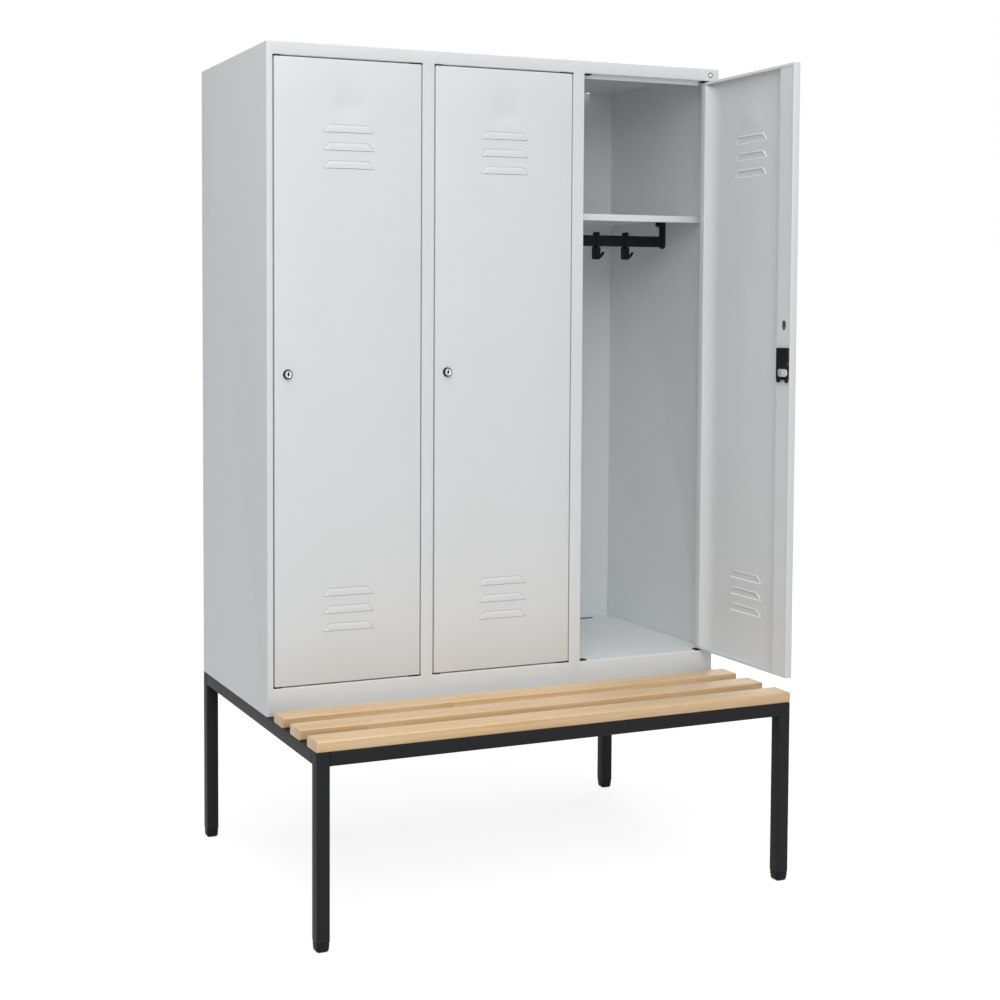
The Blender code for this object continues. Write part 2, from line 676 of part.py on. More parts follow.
def lock_case_mesh():
    """The moulded housing behind the door, with a snout that comes out through it."""
    near = FREE_EDGE + CASE_EDGE
    front = REAR_Y + SEAM
    rear = front + CASE_DEPTH
    case = bmesh.new()
    verts = block(case, (near, front, DOOR_MIDDLE - CASE_BELOW),
                  (near + CASE_WIDTH, rear, DOOR_MIDDLE + CASE_ABOVE))
    back_edges = [edge for edge in edges_of(verts)
                  if min(vert.co.y for vert in edge.verts) > (front + rear) / 2]
    soften(case, back_edges, CASE_ROUNDING)
    snout = bmesh.new()
    verts = rod(snout, "y", LOCK_X, DOOR_MIDDLE, FACE_Y - SNOUT_PROUD, front + OVERRUN,
                SNOUT_DIAMETER, LOCK_SIDES)
    nose = [edge for edge in edges_of(verts)
            if max(vert.co.y for vert in edge.verts) < FACE_Y]
    soften(snout, nose, SNOUT_EDGE)
    cuts = bmesh.new()
    rod(cuts, "y", LOCK_X, DOOR_MIDDLE, FACE_Y - SNOUT_PROUD - OVERRUN, rear + OVERRUN,
        BARREL_DIAMETER + 2 * BARREL_PLAY, LOCK_SIDES)
    bolt_front = front + BOLT_SETBACK
    level = DOOR_MIDDLE + BOLT_RISE
    block(cuts, (near - OVERRUN, bolt_front - BOLT_PLAY, level - BOLT_HEIGHT / 2 - BOLT_PLAY),
          (FREE_EDGE + BOLT_NOSE_INSET + BOLT_LENGTH + BOLT_PLAY,
           bolt_front + BOLT_THICKNESS + BOLT_PLAY, level + BOLT_HEIGHT / 2 + BOLT_PLAY))
    centre = near + CASE_WIDTH / 2
    low = DOOR_MIDDLE - CASE_BELOW
    block(cuts, (centre - CASE_NOTCH_WIDTH / 2, front - OVERRUN, low - OVERRUN),
          (centre + CASE_NOTCH_WIDTH / 2, rear + OVERRUN, low + CASE_NOTCH_HEIGHT))
    return carved("lock_case", case, joined=snout, cut=cuts)


def lock_barrel_mesh():
    """The plug that the key turns, with a round-ended cam on its inner end."""
    nose = FACE_Y - SNOUT_PROUD + BARREL_RECESS
    case_back = REAR_Y + SEAM + CASE_DEPTH
    cam_front = case_back + SEAM
    barrel = bmesh.new()
    verts = rod(barrel, "y", LOCK_X, DOOR_MIDDLE, nose, cam_front + CAM_THICKNESS / 2,
                BARREL_DIAMETER, LOCK_SIDES)
    rim = [edge for edge in edges_of(verts) if max(vert.co.y for vert in edge.verts) < FACE_Y]
    soften(barrel, rim, BARREL_EDGE, segments=1)
    cam = bmesh.new()
    prism(cam, stadium(LOCK_X, DOOR_MIDDLE, CAM_LENGTH, CAM_WIDTH), "y", cam_front,
          cam_front + CAM_THICKNESS)
    keyhole = bmesh.new()
    outline = stadium(0, 0, KEYHOLE_HEIGHT, KEYHOLE_WIDTH, steps=4)
    prism(keyhole, [(LOCK_X + b, DOOR_MIDDLE + a) for a, b in outline], "y",
          nose - OVERRUN, nose + KEYHOLE_DEPTH)
    return carved("lock_barrel", barrel, joined=cam, cut=keyhole)


def bolt_shape():
    front = REAR_Y + SEAM + BOLT_SETBACK
    level = DOOR_MIDDLE + BOLT_RISE
    nose = FREE_EDGE + BOLT_NOSE_INSET
    bm = bmesh.new()
    block(bm, (nose, front, level - BOLT_HEIGHT / 2),
          (nose + BOLT_LENGTH, front + BOLT_THICKNESS, level + BOLT_HEIGHT / 2))
    return mesh_from(bm, "lock_bolt")


def hinge_pin_mesh(edge, outward):
    """A pin through one end of the hinge edge, with a collar in the gap beside the door."""
    pin = bmesh.new()
    ends = sorted((edge - outward * PIN_ENGAGE, edge + outward * PIN_ENGAGE))
    rod(pin, "z", 0, 0, *ends, PIN_DIAMETER, PIN_SIDES)
    collar = bmesh.new()
    ends = sorted((edge + outward * SEAM, edge + outward * (DOOR_GAP - SEAM)))
    rod(collar, "z", 0, 0, *ends, PIN_COLLAR, PIN_SIDES)
    return carved("hinge_pin", pin, joined=collar)


def add_doors(paint, plastic, chrome, zinc):
    """Every door hangs on an empty at its hinge, which turns it to where it stands."""
    door = door_mesh()
    stiffener = stiffener_mesh()
    case = lock_case_mesh()
    barrel = lock_barrel_mesh()
    bolt = bolt_shape()
    low_pin = hinge_pin_mesh(DOOR_BOTTOM, -1)
    high_pin = hinge_pin_mesh(DOOR_TOP, 1)
    barrel.transform(Matrix.Translation((-LOCK_X, 0, -DOOR_MIDDLE)))
    for index, name in enumerate(BAYS):
        hinge = bpy.data.objects.new(f"hinge_axis_{name}", None)
        hinge.location = (hinge_x(index), HINGE_Y, 0)
        hinge.rotation_euler = (0, 0, OPEN_ANGLES[name])
        bpy.context.collection.objects.link(hinge)
        add(f"door_{name}", door, paint, hinge)
        add(f"door_stiffener_{name}", stiffener, paint, hinge)
        add(f"lock_case_{name}", case, plastic, hinge)
        add(f"lock_barrel_{name}", barrel, chrome, hinge, (LOCK_X, 0, DOOR_MIDDLE))
        add(f"lock_bolt_{name}", bolt, zinc, hinge)
        add(f"hinge_pin_low_{name}", low_pin, zinc, hinge)
        add(f"hinge_pin_high_{name}", high_pin, zinc, hinge)


def main():
    for item in list(bpy.data.objects):
        bpy.data.objects.remove(item)
    paint = material("light_grey_paint", (0.70, 0.71, 0.71), 0.45)
    frame_paint = material("anthracite_paint", (0.035, 0.038, 0.042), 0.5)
    wood = material("lacquered_beech", (0.68, 0.48, 0.28), 0.45)
    plastic = material("black_plastic", (0.018, 0.018, 0.02), 0.45)
    chrome = material("chrome", (0.75, 0.75, 0.76), 0.18, 1.0)
    zinc = material("zinc_plated_steel", (0.6, 0.61, 0.62), 0.35, 1.0)

    add_posts(frame_paint, plastic)
    add_rail("front_rail", "x", SEAT_FRONT, LEFT + TUBE, RIGHT - TUBE, frame_paint)
    add_rail("rear_rail", "x", BACK - TUBE, LEFT + TUBE, RIGHT - TUBE, frame_paint)
    add_rail("middle_rail", "x", FRONT, LEFT + TUBE, RIGHT - TUBE, frame_paint)
    add_rail("left_rail", "y", LEFT, SEAT_FRONT + TUBE, BACK - TUBE, frame_paint)
    add_rail("right_rail", "y", RIGHT - TUBE, SEAT_FRONT + TUBE, BACK - TUBE, frame_paint)
    add_slats(wood)

    add_side_panels(paint)
    add_flat_panels(paint)
    add_floor(paint)
    add_partitions_and_mullions(paint)
    add_header_and_sill(paint)

    hook = hook_mesh()
    for index, name in enumerate(BAYS):
        add_shelf(name, index, paint)
        add_coat_rail(name, index, plastic)
        middle = sum(walls(index)) / 2
        for number, side in ((1, -1), (2, 1)):
            place = (middle + side * HOOK_SPACING / 2, FRONT + RAIL_SETBACK, BASE + RAIL_LEVEL)
            add(f"coat_hook_{name}_{number}", hook, plastic, location=place)

    add_doors(paint, plastic, chrome, zinc)


main()
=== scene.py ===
"""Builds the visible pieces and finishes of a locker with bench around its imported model."""

import json
import math

import bmesh
import bpy
from bpy.props import FloatProperty, FloatVectorProperty, IntProperty, PointerProperty
from mathutils import Matrix, Vector


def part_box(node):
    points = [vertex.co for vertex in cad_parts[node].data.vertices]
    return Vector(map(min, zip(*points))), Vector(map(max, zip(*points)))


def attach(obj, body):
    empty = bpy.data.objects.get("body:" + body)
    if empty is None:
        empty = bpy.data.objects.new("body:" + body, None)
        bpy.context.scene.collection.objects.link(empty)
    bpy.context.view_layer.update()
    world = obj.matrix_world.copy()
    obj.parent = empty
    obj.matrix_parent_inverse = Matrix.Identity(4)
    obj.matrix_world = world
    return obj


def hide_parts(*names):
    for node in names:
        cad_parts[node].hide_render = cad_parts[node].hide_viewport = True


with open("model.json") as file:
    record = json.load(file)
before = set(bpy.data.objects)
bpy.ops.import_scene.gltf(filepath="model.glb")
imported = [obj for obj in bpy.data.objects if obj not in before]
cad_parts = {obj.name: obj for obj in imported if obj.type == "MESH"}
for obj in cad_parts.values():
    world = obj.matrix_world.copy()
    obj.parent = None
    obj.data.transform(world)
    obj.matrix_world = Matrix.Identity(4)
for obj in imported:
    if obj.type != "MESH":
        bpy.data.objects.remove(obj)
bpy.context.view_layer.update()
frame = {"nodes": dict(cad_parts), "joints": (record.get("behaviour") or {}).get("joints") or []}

bl_info = {
    "name": "Locker with bench",
    "version": (1, 0, 0),
    "blender": (4, 5, 0),
    "location": "3D View > Sidebar > Locker",
    "description": "Visible pieces and finishes of a three-bay steel locker with a slatted bench",
    "category": "Add Mesh",
}

BAYS = ("left", "middle", "right")
SMOOTH_ANGLE = math.radians(35)
SQUARE = math.radians(60)

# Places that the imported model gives
NODES = frame["nodes"]
JOINTS = {joint["name"]: joint for joint in frame["joints"]}
SIDE_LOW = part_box("side_panel_left")[0]
ROOF_LOW, ROOF_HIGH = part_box("top_panel")
SILL_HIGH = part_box("sill")[1]
MULLION_LOW, MULLION_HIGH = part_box("mullion_left")
FLOOR_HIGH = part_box("floor_panel")[1]
LEFT, RIGHT = ROOF_LOW.x, ROOF_HIGH.x
FRONT, BACK = ROOF_LOW.y, ROOF_HIGH.y
BASE, TOP = SIDE_LOW.z, ROOF_HIGH.z
FLOOR_LEVEL = SILL_HIGH.z
RETURN_BACK = SILL_HIGH.y
SHEET = ROOF_HIGH.z - ROOF_LOW.z
GAP = 0.0003
LINTEL = MULLION_HIGH.z + GAP
HINGES = {bay: Vector((*JOINTS[f"{bay}_door_hinge"]["pos_m"][:2], 0)) for bay in BAYS}
OPENED = {bay: -math.radians(min(JOINTS[f"{bay}_door_hinge"]["range_deg"])) for bay in BAYS}


def closed(name):
    """The corners of a part of the closed left door, measured from its hinge."""
    return [corner - HINGES["left"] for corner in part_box(name)]


# A closed door's places, measured from its hinge
DOOR_LOW, DOOR_HIGH = closed("door_left")
CASE_LOW, CASE_HIGH = closed("lock_case_left")
BARREL_LOW, BARREL_HIGH = closed("lock_barrel_left")
BOLT_LOW, BOLT_HIGH = closed("lock_bolt_left")
FACE = FRONT - HINGES["left"].y
FREE, EDGE = DOOR_LOW.x, DOOR_HIGH.x
REAR = DOOR_HIGH.y
DOOR_BOTTOM, DOOR_TOP = DOOR_LOW.z, DOOR_HIGH.z
DOOR_MIDDLE = (DOOR_BOTTOM + DOOR_TOP) / 2
CENTRE = (FREE + EDGE) / 2
LOCK_X = (BARREL_LOW.x + BARREL_HIGH.x) / 2

# The openings' left and right edges, bay by bay
HALF_MULLION = (MULLION_HIGH.x - MULLION_LOW.x) / 2
PITCH = (RIGHT - LEFT) / len(BAYS)
OPENINGS = {bay: (LEFT + index * PITCH + HALF_MULLION, LEFT + (index + 1) * PITCH - HALF_MULLION)
            for index, bay in enumerate(BAYS)}


def mm(value):
    """Millimetres in metres."""
    return value / 1000


# Shader maths

class Value:
    """A socket that takes part in sums: each operator adds the Math node that it names."""

    def __init__(self, shading, socket):
        self.shading = shading
        self.socket = socket

    def math(self, operation, *terms):
        return self.shading.node("Math", {"operation": operation}, dict(enumerate(terms)))

    def __add__(self, other):
        return self.math("ADD", self, other)

    def __radd__(self, other):
        return self.math("ADD", other, self)

    def __sub__(self, other):
        return self.math("SUBTRACT", self, other)

    def __rsub__(self, other):
        return self.math("SUBTRACT", other, self)

    def __mul__(self, other):
        return self.math("MULTIPLY", self, other)

    def __rmul__(self, other):
        return self.math("MULTIPLY", other, self)

    def __pow__(self, other):
        return self.math("POWER", self, other)

    def sine(self):
        return self.math("SINE", self)

    def clamped(self):
        return self.math("MAXIMUM", self.math("MINIMUM", self, 1.0), 0.0)


class Shading:
    """A node tree, and the one method that adds its nodes."""

    def __init__(self, tree):
        self.tree = tree

    def node(self, kind, settings=None, inputs=None, output=0):
        """Add a node, set its settings, then give its sockets their values or links."""
        made = self.tree.nodes.new("ShaderNode" + kind)
        for key, setting in (settings or {}).items():
            setattr(made, key, setting)
        for key, given in (inputs or {}).items():
            self.give(made.inputs[key], given)
        return Value(self, made.outputs[output]) if made.outputs else None

    def give(self, socket, given):
        if isinstance(given, Value):
            self.tree.links.new(given.socket, socket)
        else:
            socket.default_value = given

    def seen(self, *rays):
        """1 for the kinds of ray that are named, else 0."""
        flags = [self.node("LightPath", output=ray) for ray in rays]
        both = flags[0]
        for flag in flags[1:]:
            both = both.math("MAXIMUM", both, flag)
        return both


class Finish(Shading):
    """One material and its node tree."""

    def __init__(self, name):
        self.material = bpy.data.materials.new(name)
        self.material.use_nodes = True
        super().__init__(self.material.node_tree)
        self.shader = self.tree.nodes["Principled BSDF"]

    def surface(self, **given):
        """Values or links for the shader's sockets, by names with underscores for spaces."""
        for key, item in given.items():
            self.give(self.shader.inputs[key.replace("_", " ")], item)

    def place(self, scale=(1, 1, 1)):
        """Object coordinates in metres, scaled."""
        here = self.node("TexCoord", output="Object")
        return self.node("Mapping", inputs={"Vector": here, "Scale": scale})

    def noise(self, place, scale, detail=2.0, roughness=0.5):
        return self.node("TexNoise", inputs={"Vector": place, "Scale": scale, "Detail": detail,
                                             "Roughness": roughness})

    def stretched(self, scale, detail=2.0, roughness=0.5):
        """Noise whose grain has its own scale along each axis."""
        return self.noise(self.place(scale), 1.0, detail, roughness)

    def cells(self, scale, randomness, output="Distance"):
        """Stretched cells: each point's distance from its cell's middle, or the cell's colour."""
        return self.node("TexVoronoi", {"feature": "F1"}, {
            "Vector": self.place(scale), "Scale": 1.0, "Randomness": randomness}, output)

    def mix(self, factor, first, second, blend="MIX"):
        """Two colours mixed; a colour given by its numbers gets its alpha here."""
        settings = {"data_type": "RGBA", "blend_type": blend}
        colours = [item if isinstance(item, Value) else (*item, 1) for item in (first, second)]
        return self.node("Mix", settings, {0: factor, 6: colours[0], 7: colours[1]}, output=2)

    def bump(self, height, distance):
        return self.node("Bump", inputs={"Height": height, "Distance": distance, "Strength": 1.0})


def powder_coat(name, colour, roughness, texture, specular=0.5):
    """Satin powder coat: an even colour, a faint cloud in the gloss and a fine orange peel."""
    finish = Finish(name)
    place = finish.place()
    cloud = finish.noise(place, 3.5, detail=3.0)
    speck = finish.noise(place, 900.0, detail=1.0)
    shade = 1.0 + (cloud - 0.5) * 0.05 + (speck - 0.5) * 0.03
    grey = finish.node("CombineColor", inputs={0: shade, 1: shade, 2: shade})
    peel = finish.noise(place, 420.0, roughness=0.6)
    finish.surface(Base_Color=finish.mix(1.0, colour, grey, "MULTIPLY"),
                   Roughness=roughness + (cloud - 0.5) * 0.10 + (peel - 0.5) * 0.06,
                   Specular_IOR_Level=specular, Normal=finish.bump(peel, mm(texture)))
    return finish.material


def beech(name, light, dark, blush):
    """Lacquered beech: year rings round a far pith, soft patches, rays and fine pores."""
    finish = Finish(name)
    pith_height, ring_scale = 0.36, 1500.0
    place = finish.place()
    across = finish.node("SeparateXYZ", inputs={"Vector": place}, output="Y")
    height = finish.node("SeparateXYZ", inputs={"Vector": place}, output="Z")
    bend = finish.stretched((1.1, 5, 5))
    tone = finish.node("SeparateColor", inputs={"Color": finish.cells((2.1, 33, 0.1), 0.8, "Color")})
    ring_y = across + (bend - 0.5) * 0.02 + tone * 0.06
    ring_z = height - pith_height + (bend - 0.5) * 0.012
    ring = ((ring_y * ring_y + ring_z * ring_z) ** 0.5 * ring_scale).sine() * 0.5 + 0.5
    streak = finish.stretched((3, 190, 190), detail=4.0, roughness=0.65)
    pore = finish.stretched((55, 1300, 1300))
    flecks = (1.0 - finish.cells((90, 620, 620), 1.0) * 3.2).clamped()
    grain = (ring * 0.34 + streak * 0.95 + tone * 0.40 - 0.46 + (pore - 0.5) * 0.30).clamped()
    colour = finish.mix(grain, light, dark)
    patch = finish.stretched((5, 34, 34), detail=4.0, roughness=0.60)
    colour = finish.mix(((patch - 0.42) * 3.2).clamped() * 0.60, colour, blush)
    colour = finish.mix(flecks * 0.12, colour, [channel * 0.72 for channel in dark])
    relief = streak * 0.5 + pore * 0.5
    finish.surface(Base_Color=colour, Roughness=0.42 + (pore - 0.5) * 0.2,
                   Normal=finish.bump(relief, mm(0.12)), Coat_Weight=0.7, Coat_Roughness=0.42)
    return finish.material


def moulded_plastic(name, colour):
    """Black moulded plastic with a spark-eroded grain."""
    finish = Finish(name)
    place = finish.place()
    grain = finish.node("TexVoronoi", {"feature": "SMOOTH_F1"}, {
        "Vector": place, "Scale": 1400.0, "Smoothness": 0.6})
    cloud = finish.noise(place, 60.0, detail=3.0)
    finish.surface(Base_Color=finish.mix(cloud, colour, [channel * 1.4 for channel in colour]),
                   Roughness=0.46 + (cloud - 0.5) * 0.15, Specular_IOR_Level=0.12,
                   Normal=finish.bump(grain, mm(0.08)))
    return finish.material


def plated_metal(name, colour, roughness, cloudiness):
    """Bright plated metal with a soft cloud and fine drawing lines."""
    finish = Finish(name)
    place = finish.place()
    cloud = finish.noise(place, 160.0, detail=3.0)
    lines = finish.stretched((90, 90, 2600))
    shade = (cloud * cloudiness).clamped()
    finish.surface(Base_Color=finish.mix(shade, colour, [channel * 0.6 for channel in colour]),
                   Metallic=1.0, Roughness=roughness + (lines - 0.5) * 0.12,
                   Normal=finish.bump(lines, mm(0.01)))
    return finish.material


MADE = {}


def finish_of(slot):
    """The material of one of the record's slots, made when it is first asked for."""
    colours = bpy.context.scene.locker_finishes
    makers = {
        "light_grey_paint": lambda: powder_coat("locker_paint", colours.paint,
                                                colours.paint_roughness, 0.10),
        "anthracite_paint": lambda: powder_coat("frame_paint", colours.frame,
                                                colours.frame_roughness, 0.16, specular=0.12),
        "lacquered_beech": lambda: beech("bench_beech", colours.wood_light, colours.wood_dark,
                                         colours.wood_blush),
        "black_plastic": lambda: moulded_plastic("moulded_black", colours.plastic),
        "chrome": lambda: plated_metal("lock_chrome", colours.chrome, 0.16, 0.15),
        "zinc": lambda: plated_metal("zinc_plate", colours.zinc, 0.46, 0.45),
    }
    if slot not in MADE:
        MADE[slot] = makers[slot]()
    return MADE[slot]


# Mesh helpers

def block(bm, low, high):
    """A box between two opposite corners; gives its corner points."""
    low, high = Vector(low), Vector(high)
    place = Matrix.Translation((low + high) / 2) @ Matrix.Diagonal((high - low).to_4d())
    return bmesh.ops.create_cube(bm, size=1, matrix=place)["verts"]


def edges_of(verts):
    return list({edge for vert in verts for edge in vert.link_edges})


def edges_at(bm, axis, place):
    """The edges that lie in the plane across an axis at a place."""
    return [edge for edge in bm.edges if all(near(vert.co[axis], place) for vert in edge.verts)]


def edges_along(verts, axis):
    """The edges at some points that run along an axis."""
    return [edge for edge in edges_of(verts) if runs_along(edge, axis)]


def soften(bm, edges, radius, segments=3):
    return bmesh.ops.bevel(bm, geom=edges, offset=radius, segments=segments, profile=0.5,
                           affect="EDGES", material=-1)


def slice_where(bm, axis, places, test):
    """Cut the faces that pass a test at each place along an axis."""
    normal = Vector([1 if index == axis else 0 for index in range(3)])
    for place in places:
        faces = [face for face in bm.faces if test(face)]
        rims = {edge for face in faces for edge in face.edges}
        points = {vert for face in faces for vert in face.verts}
        bmesh.ops.bisect_plane(bm, geom=[*faces, *rims, *points], dist=1e-6,
                               plane_co=normal * place, plane_no=normal)


def near(value, target, slack=1e-5):
    return abs(value - target) < slack


def lies(axis, place):
    """A test for faces that lie in the plane across an axis at a place."""
    return lambda face: all(near(vert.co[axis], place) for vert in face.verts)


def within(face, axis, low, high):
    """Whether a face's middle lies between two places along an axis."""
    return low < face.calc_center_median()[axis] < high


def rim(bm, test):
    """The open edges both of whose ends pass a test."""
    return [edge for edge in bm.edges if edge.is_boundary and all(test(v.co) for v in edge.verts)]


def fold(bm, edges, along):
    """Carry open edges on by a vector; gives the new edges."""
    made = set(bmesh.ops.extrude_edge_only(bm, edges=edges)["geom"])
    verts = [item for item in made if isinstance(item, bmesh.types.BMVert)]
    bmesh.ops.translate(bm, vec=along, verts=verts)
    return [item for item in made if isinstance(item, bmesh.types.BMEdge)
            and set(item.verts) <= set(verts)]


def delete_faces(bm, test):
    """Delete the faces whose middle passes a test."""
    doomed = [face for face in bm.faces if test(face.calc_center_median())]
    bmesh.ops.delete(bm, geom=doomed, context="FACES")


def sharp_edges(bm, test):
    """Folded edges between two faces that pass a test."""
    return [edge for edge in bm.edges if len(edge.link_faces) == 2
            and edge.calc_face_angle() > SQUARE and test(edge)]


def runs_along(edge, axis):
    heading = edge.verts[1].co - edge.verts[0].co
    return abs(heading[axis]) > 0.99 * heading.length


def thicken(bm, thickness):
    """Give a folded sheet its thickness, inwards from the faces that are there."""
    bmesh.ops.solidify(bm, geom=bm.faces[:], thickness=thickness)


def lathe(bm, profile, steps=48):
    """Spin radius and height pairs about Z, and close any pole."""
    before = set(bm.verts)
    start = [bm.verts.new((radius, 0, height)) for radius, height in profile]
    edges = [bm.edges.new(pair) for pair in zip(start, start[1:])]
    bmesh.ops.spin(bm, geom=start + edges, cent=(0, 0, 0), axis=(0, 0, 1), steps=steps,
                   angle=math.tau, use_merge=True)
    made = [vert for vert in bm.verts if vert not in before]
    bmesh.ops.remove_doubles(bm, verts=made, dist=1e-6)
    made = [vert for vert in bm.verts if vert not in before]
    faces = list({face for vert in made for face in vert.link_faces})
    bmesh.ops.recalc_face_normals(bm, faces=faces)
    return made


def turned(bm, profile, steps=48):
    """A lathed form whose radii and heights are given in millimetres."""
    return lathe(bm, [(mm(radius), mm(height)) for radius, height in profile], steps)


def slot_form(bm, length, width, depth, edge, segments=10):
    """A round-ended bar along X, from height 0 up to its depth, its upper rim softened."""
    sides = 4 * segments
    turn = Matrix.Translation((0, 0, depth / 2)) @ Matrix.Rotation(math.pi / sides, 4, "Z")
    verts = bmesh.ops.create_cone(bm, cap_ends=True, segments=sides, radius1=width / 2,
                                  radius2=width / 2, depth=depth, matrix=turn)["verts"]
    for vert in verts:
        vert.co.x += math.copysign((length - width) / 2, vert.co.x)
    upper = [item for item in edges_of(verts) if all(v.co.z > depth / 2 for v in item.verts)]
    soften(bm, upper, edge)


def place_verts(bm, verts, matrix):
    bmesh.ops.transform(bm, matrix=matrix, verts=[vert for vert in verts if vert.is_valid])


def put(name, data):
    """An object with some data, linked to the scene."""
    made = bpy.data.objects.new(name, data)
    bpy.context.scene.collection.objects.link(made)
    return made


def piece(name, bm, slot, body, replaced=(), place=None):
    """Finish a mesh: it rides on a body, takes a slot's finish and stands for CAD nodes."""
    if place is not None:
        bmesh.ops.transform(bm, matrix=place, verts=bm.verts)
    mesh = bpy.data.meshes.new(name)
    bm.to_mesh(mesh)
    bm.free()
    mesh.materials.append(finish_of(slot))
    mesh.shade_smooth()
    mesh.set_sharp_from_angle(angle=SMOOTH_ANGLE)
    made = put(name, mesh)
    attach(made, body)
    if replaced:
        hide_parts(*replaced)


def dress(names, slot):
    """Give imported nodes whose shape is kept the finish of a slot."""
    for name in names:
        node = NODES[name]
        node.data.materials.clear()
        node.data.materials.append(finish_of(slot))


def hung(bay):
    """Takes a mesh from its door's hinge, closed, to where the door stands."""
    return Matrix.Translation(HINGES[bay]) @ Matrix.Rotation(OPENED[bay], 4, "Z")


# Sizes and colours

def measure(name, text, default):
    """A length, whose default is given in millimetres."""
    return FloatProperty(name=name, description=text, default=mm(default), unit="LENGTH", precision=4)


def tint(name, text, default):
    return FloatVectorProperty(name=name, description=text, default=default, subtype="COLOR",
                               min=0, max=1)


def gloss(name, default):
    return FloatProperty(name=name, description="0 is a mirror", default=default, min=0, max=1,
                         subtype="FACTOR")


class LockerFinishes(bpy.types.PropertyGroup):
    """Colours and gloss."""

    paint: tint("Locker paint", "Powder coat of the locker", (0.762, 0.787, 0.796))
    paint_roughness: gloss("Locker paint roughness", 0.40)
    frame: tint("Frame paint", "Powder coat of the underframe", (0.0180, 0.0188, 0.0200))
    frame_roughness: gloss("Frame paint roughness", 0.46)
    wood_light: tint("Light wood", "Early wood of the slats", (0.740, 0.505, 0.262))
    wood_dark: tint("Dark wood", "Late wood of the slats", (0.535, 0.322, 0.140))
    wood_blush: tint("Wood patches", "Soft pink patches in the wood", (0.770, 0.560, 0.372))
    plastic: tint("Plastic", "Moulded parts", (0.0090, 0.0105, 0.0110))
    chrome: tint("Chrome", "Lock barrels", (0.78, 0.78, 0.79))
    zinc: tint("Zinc", "Bolts and hinge pins", (0.86, 0.87, 0.88))


class LockerSizes(bpy.types.PropertyGroup):
    """Sizes of the pieces that are modelled here."""

    bend: measure("Bend radius", "Outer radius of each fold", 2)
    fold_bend: measure("Fold radius", "Outer radius round each opening", 2.8)
    front_return: measure("Front return", "Depth of the folds round an opening", 20)
    return_lip: measure("Return lip", "Width of the lip behind a stile", 8)
    rear_return: measure("Rear return", "Width of the side panels' rear folds", 15)
    slot_inset: measure("Roof slot inset", "From a bay's right side to its slot", 87)
    slot_width: measure("Roof slot width", "Width of the slot over each bay", 13)
    slot_depth: measure("Roof slot depth", "Front to back of that slot", 20)
    stop_drop: measure("Stop drop", "Height of the strip that stops the doors", 9)
    stop_inset: measure("Stop inset", "From the opening's latch side to that strip", 4)
    latch_notch: measure("Latch notch", "Notch in the folds at the latch side", 20)
    hinge_notch: measure("Hinge notch", "Length of the notch at the hinge side", 31)
    # The buffers and their tongues reach into the door gap; their black is also painted shade there
    buffer_rise: measure("Buffer rise", "How far a buffer reaches into the gap", 2.5)
    louvre_width: measure("Louvre width", "Width along its open edge", 127)
    louvre_top: measure("Louvre top width", "Width along its upper edge", 98)
    louvre_height: measure("Louvre height", "Height of one hood", 18)
    louvre_rise: measure("Louvre rise", "How far a hood stands out", 1.1)
    louvre_pitch: measure("Louvre pitch", "From one hood to the next", 40.8)
    louvre_corner: measure("Louvre corner", "Rounding of its upper corners", 5)
    louvre_end: measure("Louvre end", "Run of a hood's curve at its ends", 7)
    louvre_shoulder: measure("Louvre shoulder", "Run of the curve at its top", 7)
    louvre_slot: measure("Louvre slot", "Height of the slot under a hood", 0.7)
    crease_width: measure("Louvre crease", "Width of the crease round a hood", 2.6)
    crease_depth: measure("Louvre crease depth", "Depth of that crease", 1.5)
    louvres_from_top: measure("Louvres from top", "Door top to the first hood", 164.5)
    louvres_from_bottom: measure("Louvres from bottom", "Door bottom to the lowest hood", 121)
    hinge_lip: measure("Hinge lip", "Flat of the door's boxed hinge edge", 17)
    hinge_flank: measure("Hinge flank", "Run of the hinge edge's slope", 39)
    flank_corner: measure("Flank corner", "Radius of the slope's ends", 36)
    door_lip: measure("Door lip", "Fold at the door's top and bottom", 7)
    card_width: measure("Card field width", "Sunk field over the louvres", 67)
    card_height: measure("Card field height", "Sunk field over the louvres", 30)
    card_from_top: measure("Card field from top", "Door top to the field", 93)
    card_ramp: measure("Card field ramp", "Run of its sloping rim", 1.5)
    card_recess: measure("Card field recess", "Depth of the field", 0.4)
    tube_corner: measure("Tube corner", "Outer radius of the square tubes", 2.2)
    slat_edge: measure("Slat edge", "Rounding of the slats' long edges", 4)
    louvre_count: IntProperty(name="Louvres", description="Hoods in each group", default=3, min=1)


class LockerStage(bpy.types.PropertyGroup):
    """Camera, lamps and floor."""

    eye: FloatVectorProperty(name="Camera place", description="Where the camera stands",
                             default=(-1.75971, -3.41646, 1.35188), subtype="TRANSLATION")
    heading: FloatProperty(name="Camera heading", description="Turn about the upright axis",
                           default=math.radians(-21.098), subtype="ANGLE", unit="ROTATION")
    pitch: FloatProperty(name="Camera pitch", description="Tilt below the horizon",
                         default=math.radians(2.85), subtype="ANGLE", unit="ROTATION")
    lens: FloatProperty(name="Lens", description="Focal length", default=56.447, unit="CAMERA")
    shift_x: FloatProperty(name="Shift across", description="Lens shift across", default=0.18)
    shift_y: FloatProperty(name="Shift up", description="Lens shift up", default=-0.11)
    floor_size: FloatProperty(name="Floor size", description="Length of the floor's sides",
                              default=60.0, unit="LENGTH")


# Operators

